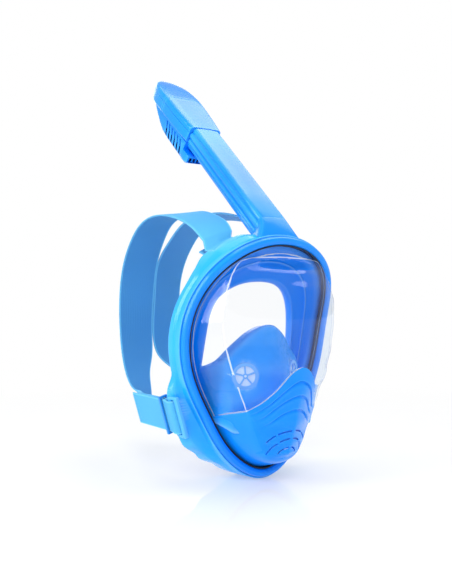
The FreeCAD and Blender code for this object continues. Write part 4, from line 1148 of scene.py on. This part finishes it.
def silicone(name, base, deep, roughness=0.3, glint=SOFT_GLINT):
    """Satin silicone: raised edges painted paler as a painted highlight, a fine matt skin and faint
    cloudiness.
    """
    s = Shader(name)
    colour = s.mix(s.noise(30, 3), deep, base)
    # Painted highlight: sharp raised edges mixed towards pale blue.
    colour = s.mix(s.times(edge_wear_and_highlight(s), 0.5), colour, EDGE_HIGHLIGHT_PAINT)
    rough = s.plus(roughness, s.times(s.noise(160, 3), 0.16))
    skin = s.bump(s.noise(1400, 2), 0.12, 0.06)
    wave = s.bump(s.noise(70, 1), 0.06, 0.5, skin)
    return s.principled(Base_Color=colour, Roughness=rough, Normal=wave, IOR=1.43,
                        Specular_Tint=glint)


WEAVE_PITCH = 0.9
FOLD_LENGTH = 112


def woven(name, base, deep, light, under):
    """Elastic webbing: ribs along the strap, a fine twill across, fuzzy sheen; painted highlight on
    weave crowns and edges, painted shade on the head side past the fold.
    """
    s = Shader(name)
    uv = s.node("UVMap", uv_map="weave").outputs[0]
    split = s.node("SeparateXYZ", {0: uv})
    length, side = split.outputs[0], split.outputs[1]
    turns = 2 * math.pi / (WEAVE_PITCH * MM)
    along = s.times(length, turns)
    across = s.times(side, turns)
    warp = s.maths("SINE", s.plus(along, s.times(across, 0.5)))
    weft = s.maths("SINE", s.maths("SUBTRACT", across, s.times(along, 0.5)))
    height = s.maths("MULTIPLY_ADD", s.times(warp, weft), 0.5)
    ribs = s.maths("ABSOLUTE", s.maths("SINE", s.times(across, 0.25)))
    cloth = s.plus(height, s.times(ribs, 0.8))
    blotch = s.noise(24, 3)
    colour = s.mix(blotch, deep, base)
    # Painted shade: the head-side face past the fold takes the darker under colour.
    head_side = s.maths("GREATER_THAN", side, 0.5 * SIDE_STEP * MM)
    past_fold = s.maths("GREATER_THAN", length, FOLD_LENGTH * MM)
    colour = s.mix(s.times(head_side, past_fold), colour, under)
    place = s.maths("DIVIDE", s.maths("MODULO", side, SIDE_STEP * MM), STRAP_HALF_WIDTH * MM)
    rim = s.maths("ABSOLUTE", s.maths("SUBTRACT", place, 1))
    # Painted highlight and shade: weave crowns lighter, hollows darker.
    crown_highlight = s.times(s.plus(height, 0.5), 0.3)
    # Painted highlight: a pale stripe along both strap edges.
    strap_edge_highlight = s.times(s.maths("GREATER_THAN", rim, 0.93), 0.75)
    colour = s.mix(s.maths("MAXIMUM", crown_highlight, strap_edge_highlight), colour, light)
    bump = s.bump(cloth, 0.5, 0.25)
    fuzz = s.bump(s.noise(2200, 2), 0.15, 0.1, bump)
    return s.principled(Base_Color=colour, Roughness=0.62, Normal=fuzz, IOR=1.45,
                        Specular_Tint=BLUE_GLINT, Sheen_Weight=0.12, Sheen_Roughness=0.4,
                        Sheen_Tint=light)


def clear_lens(name):
    """Thin clear polycarbonate: passes light, mirrors the room at a slant."""
    s = Shader(name)
    facing = s.node("LayerWeight", {"Blend": 0.5}).outputs["Facing"]
    tint = s.ramp(facing, [(0, (0.985, 0.992, 1, 1)), (0.86, (0.95, 0.975, 0.99, 1)),
                           (0.95, (0.7, 0.78, 0.87, 1)), (1, (0.2, 0.26, 0.36, 1))])
    through = s.node("BsdfTransparent", {"Color": tint})
    rough = s.times(s.noise(90, 2), 0.03)
    mirror = s.node("BsdfGlossy", {"Color": (1, 1, 1, 1), "Roughness": rough})
    share = s.maths("MULTIPLY_ADD", s.maths("POWER", facing, 4), 0.34)
    s.feed(share.node, 2, 0.022)
    surface = s.node("MixShader", {0: share, 1: through, 2: mirror})
    return s.finish(surface)


def grained(name, grain, dark, pale, bump, skin=None, **inputs):
    """One grain (scale, detail) that tints from dark to pale and lifts the skin."""
    s = Shader(name)
    cloud = s.noise(*grain)
    height = s.noise(skin) if skin else cloud
    return s.principled(Base_Color=s.mix(cloud, dark, pale), Normal=s.bump(height, *bump), **inputs)


def brushed_steel(name):
    s = Shader(name)
    stretch = s.node("Mapping", {"Vector": s.place(), "Scale": (1, 1, 30)}).outputs[0]
    streak = s.noise(400, 3, vector=stretch)
    colour = s.mix(streak, rgb(150, 152, 158), rgb(205, 207, 212))
    return s.principled(Base_Color=colour, Metallic=1, Roughness=0.3,
                        Normal=s.bump(streak, 0.1, 0.05))


AZURE = rgb(0, 142, 255)
AZURE_DEEP = rgb(0, 130, 250)
SKY = rgb(60, 180, 255)
PALE = rgb(150, 215, 255)

body_blue = gloss_plastic("azure_gloss", AZURE, AZURE_DEEP, rgb(70, 180, 255))
chin_blue = gloss_plastic("chin_gloss", rgb(14, 150, 255), rgb(6, 138, 250), rgb(90, 190, 255))
frame_sky = gloss_plastic("frame_gloss", rgb(40, 178, 255), rgb(24, 166, 252), PALE,
                          glint=(0.6, 0.88, 1, 1))
slider_blue = gloss_plastic("slider_gloss", rgb(20, 110, 205), rgb(14, 96, 190), SKY, 0.25)
skirt_blue = silicone("skirt_silicone", rgb(0, 130, 244), rgb(0, 118, 232))
pocket_blue = silicone("pocket_silicone", rgb(24, 152, 250), rgb(12, 138, 240), 0.2)
milky = silicone("valve_silicone", rgb(250, 251, 253), rgb(236, 240, 246), 0.35, CLEAR_GLINT)
seat_blue = silicone("valve_seat_plastic", rgb(30, 140, 236), rgb(20, 126, 226), 0.25)
# Third colour: painted highlight on weave crowns and strap edges; fourth: painted shade on the head
# side past the fold.
strap_blue = woven("elastic_webbing", rgb(58, 168, 226), rgb(48, 154, 216), rgb(120, 208, 245),
                   rgb(26, 104, 186))
thread_blue = silicone("stitch_thread", rgb(110, 195, 245), rgb(80, 170, 230), 0.5)
lens_clear = clear_lens("clear_polycarbonate")
# The window's cut edge is frosted; the whitish strip along the pane's fold is a painted highlight.
lens_edge = grained("polycarbonate_edge", (500, 3), rgb(150, 165, 185), rgb(225, 235, 245),
                    (0.2, 0.1), Roughness=0.25, Alpha=0.75)
lens_fold_highlight = grained("polycarbonate_fold_highlight", (120, 2), rgb(226, 238, 252), rgb(248, 252, 255),
                    (0.1, 0.1), Roughness=0.12, Alpha=0.6)
# Dark navy for the hood's inside is painted shade.
hood_shade_navy = gloss_plastic("hood_inside_painted_shade", rgb(8, 44, 96), rgb(4, 30, 74), rgb(10, 50, 110), 0.5)
black_rubber = grained("black_rubber", (200, 3), rgb(10, 12, 18), rgb(34, 38, 48),
                       (0.2, 0.08), skin=900, Roughness=0.5)
float_white = gloss_plastic("float_plastic", rgb(240, 242, 245), rgb(228, 232, 238),
                            rgb(255, 255, 255), 0.3, glint=CLEAR_GLINT)
steel = brushed_steel("brushed_steel")


# -------------------- assembly

def tree_of(points):
    tree = KDTree(len(points))
    for k, point in enumerate(points):
        tree.insert(point, k)
    tree.balance()
    return tree


def window_lines():
    """The pane's fold, and the middle of the fine line moulded round its foot."""
    count = 2400
    crease = mirrored_loop([(x, -shell_front(x, z), z) for x, z in CREASE_SHAPE], count)
    rim, normals = seat_loop(count)
    foot = rim - normals * WALL_SETBACK + BACK * LENS_SEAT
    ahead = (crease - foot) / np.linalg.norm(crease - foot, axis=1)[:, None]
    return tree_of(crease), tree_of(foot + ahead * sum(RIM_LINE) / 2)


def paint_window(window):
    """The frosted cut along the chin, the painted highlight on the fold and the line round the
    foot.
    """
    for material in (lens_edge, lens_fold_highlight):
        window.data.materials.append(material)
    crease, foot_line = window_lines()
    for face in window.data.polygons:
        centre = np.array(face.center) / MM
        x, y, z = centre
        on_cut = abs(z - CHIN_GAP - wave_height(x)) < 0.12 and y < 8 and abs(x) < 80
        if on_cut or foot_line.find(centre)[2] < 0.45:
            face.material_index = 1
        # Painted highlight: faces along the fold get the whitish strip.
        elif crease.find(centre)[2] < 0.6:
            face.material_index = 2


def build_mask():
    bezel = rest_flat(rim_sweep("front_bezel_roll", bezel_profile))
    gasket = rim_sweep("lens_gasket_ring", gasket_profile)
    window = make_window()
    for piece, material, slot, node in (
            (bezel, body_blue, "body_blue", "front_bezel"),
            (gasket, black_rubber, "gasket_black", "lens_gasket"),
            (make_rear_frame(), frame_sky, "frame_sky", "rear_frame"),
            (window, lens_clear, "lens_clear", "lens"),
            (make_chin(), chin_blue, "body_blue", "chin_cover"),
            (make_skirt(), skirt_blue, "silicone_blue", "face_skirt"),
            (make_pocket(), pocket_blue, "silicone_blue", "orinasal_pocket"),
            (make_neck(), body_blue, "body_blue", "snorkel_neck")):
        settle(piece, material, "mask", slot, [node])
    paint_window(window)


def build_straps():
    for node in ("strap_right", "strap_left"):
        name = node + "_webbing"
        strap = strap_band(name, strap_edges())
        stitches = stitch_rows(name + "_stitches")
        if node == "strap_left":
            flip(strap)
            flip(stitches)
        settle(strap, strap_blue, "mask", "strap_blue", [node])
        settle(stitches, thread_blue, "mask", "strap_blue")


def build_snorkel():
    hood = make_housing()
    for piece, node in ((make_tube(), "snorkel_tube"), (make_cap(), "cap_body"),
                        (make_lid(), "cap_lid"), (hood, "vent_housing")):
        settle(piece, body_blue, "snorkel", "body_blue", [node])
    paint_room_shade(hood)


BOTH_SIDES = ("_right", "_left")
CAD_FINISH = [
    (seat_blue, ["inhale_valve_seat" + side for side in BOTH_SIDES]),
    (body_blue, ["drain_valve_seat", "inlet_grille", "float_seat"]),
    (milky, ["inhale_valve_disc" + side for side in BOTH_SIDES]),
    (milky, ["exhaust_flap" + side for side in BOTH_SIDES]),
    (milky, ["drain_valve_disc", "float_seal"]),
    (slider_blue, ["strap_slider" + side for side in BOTH_SIDES]),
    (black_rubber, ["tube_seal"]), (float_white, ["float"]),
    (steel, ["cap_screws", "frame_screws"])]


def finish_cad_nodes():
    """The small pieces keep their CAD shape and get real materials."""
    for material, nodes in CAD_FINISH:
        for node in nodes:
            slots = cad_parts[node].data.materials
            slots.clear()
            slots.append(material)


# -------------------- stage

def paper(name, colour, roughness):
    """White sweep: a faint shine near the object, pure white farther out."""
    s = Shader(name)
    tone = s.mix(s.noise(3, 2), colour, rgb(252, 253, 254))
    surface = s.node("BsdfPrincipled", {"Base Color": tone, "Roughness": roughness,
                                        "Normal": s.bump(s.noise(300), 0.02, 0.05)})
    point = s.node("NewGeometry").outputs["Position"]
    distance = s.node("VectorMath", {0: point}, operation="LENGTH").outputs["Value"]
    share = s.node("MapRange", {"Value": distance, "From Min": 0.15, "From Max": 0.8,
                                "To Min": 0.3, "To Max": 1}).outputs[0]
    glow = s.node("Emission", {"Color": (1, 1, 1, 1), "Strength": 1})
    return s.finish(s.node("MixShader", {0: share, 1: surface, 2: glow}))


FLOOR_RADIUS = 6000
FLOOR_GAP = 0.4


def make_stage():
    """A wide round floor, just under the object."""
    rings = [0, 300, 1200, FLOOR_RADIUS]
    points = [(r * math.cos(a), r * math.sin(a), -FLOOR_GAP)
              for a in np.radians(np.arange(0, 360, 7.5)) for r in rings]
    faces = grid_faces(len(points) // len(rings), len(rings), True)
    floor = add_piece("stage_floor", points, faces, 60)
    floor.data.materials.append(paper("pale_paper", rgb(250, 251, 253), 0.07))


def soft_light(name, place, aim, size, power, mirrored=True):
    data = bpy.data.lights.new(name, "AREA")
    data.shape = "RECTANGLE"
    data.size, data.size_y = size
    data.energy = power
    light = add_object(name, data)
    light.location = place
    light.visible_glossy = mirrored
    point_at(light, Vector(aim) - Vector(place))


def point_at(obj, direction):
    obj.rotation_mode = "QUATERNION"
    obj.rotation_quaternion = direction.to_track_quat("-Z", "Y")


ROOM_GLOW = 0.55
BACKDROP_GLOW = 1


def make_lights():
    aim = (0, 0.05, 0.17)
    soft_light("key", (-0.9, -1.3, 1.2), aim, (0.9, 0.9), 12, mirrored=False)
    soft_light("fill", (1.3, -1, 0.7), aim, (0.8, 1.2), 4, mirrored=False)
    soft_light("side", (-1.6, 0.5, 0.6), aim, (0.7, 1.4), 20)
    soft_light("top", (0.1, 0.2, 1.7), aim, (1.2, 1.2), 8)
    soft_light("sheen", (0.95, 0.15, 1.6), (0, 0.05, 0.3), (1.3, 1), 9)
    soft_light("rear", (0.6, 1.6, 0.9), aim, (1.2, 0.8), 5)


def make_world():
    """A white backdrop for the camera that lights the object less than it shows."""
    world = bpy.data.worlds.new("studio")
    world.use_nodes = True
    tree = world.node_tree
    background = tree.nodes["Background"]
    background.inputs["Color"].default_value = (1, 1, 1, 1)
    seen = tree.nodes.new("ShaderNodeLightPath").outputs["Is Camera Ray"]
    strength = tree.nodes.new("ShaderNodeMath")
    strength.operation = "MULTIPLY_ADD"
    tree.links.new(seen, strength.inputs[0])
    strength.inputs[1].default_value = BACKDROP_GLOW - ROOM_GLOW
    strength.inputs[2].default_value = ROOM_GLOW
    tree.links.new(strength.outputs[0], background.inputs["Strength"])
    bpy.context.scene.world = world


CAMERA_AZIMUTH = -35
CAMERA_PLACE = (-0.475, -0.6144, 0.1899)
CAMERA_LENS = 46.85


def make_camera():
    data = bpy.data.cameras.new("view")
    data.lens = CAMERA_LENS
    data.sensor_width = 36
    data.clip_start = 0.01
    camera = add_object("view", data)
    camera.location = CAMERA_PLACE
    turn = math.radians(CAMERA_AZIMUTH)
    point_at(camera, Vector((-math.sin(turn), math.cos(turn), 0)))
    bpy.context.scene.camera = camera


build_mask()
build_straps()
build_snorkel()
finish_cad_nodes()
make_stage()
make_lights()
make_world()
make_camera()
bpy.context.scene.view_settings.view_transform = "Standard"
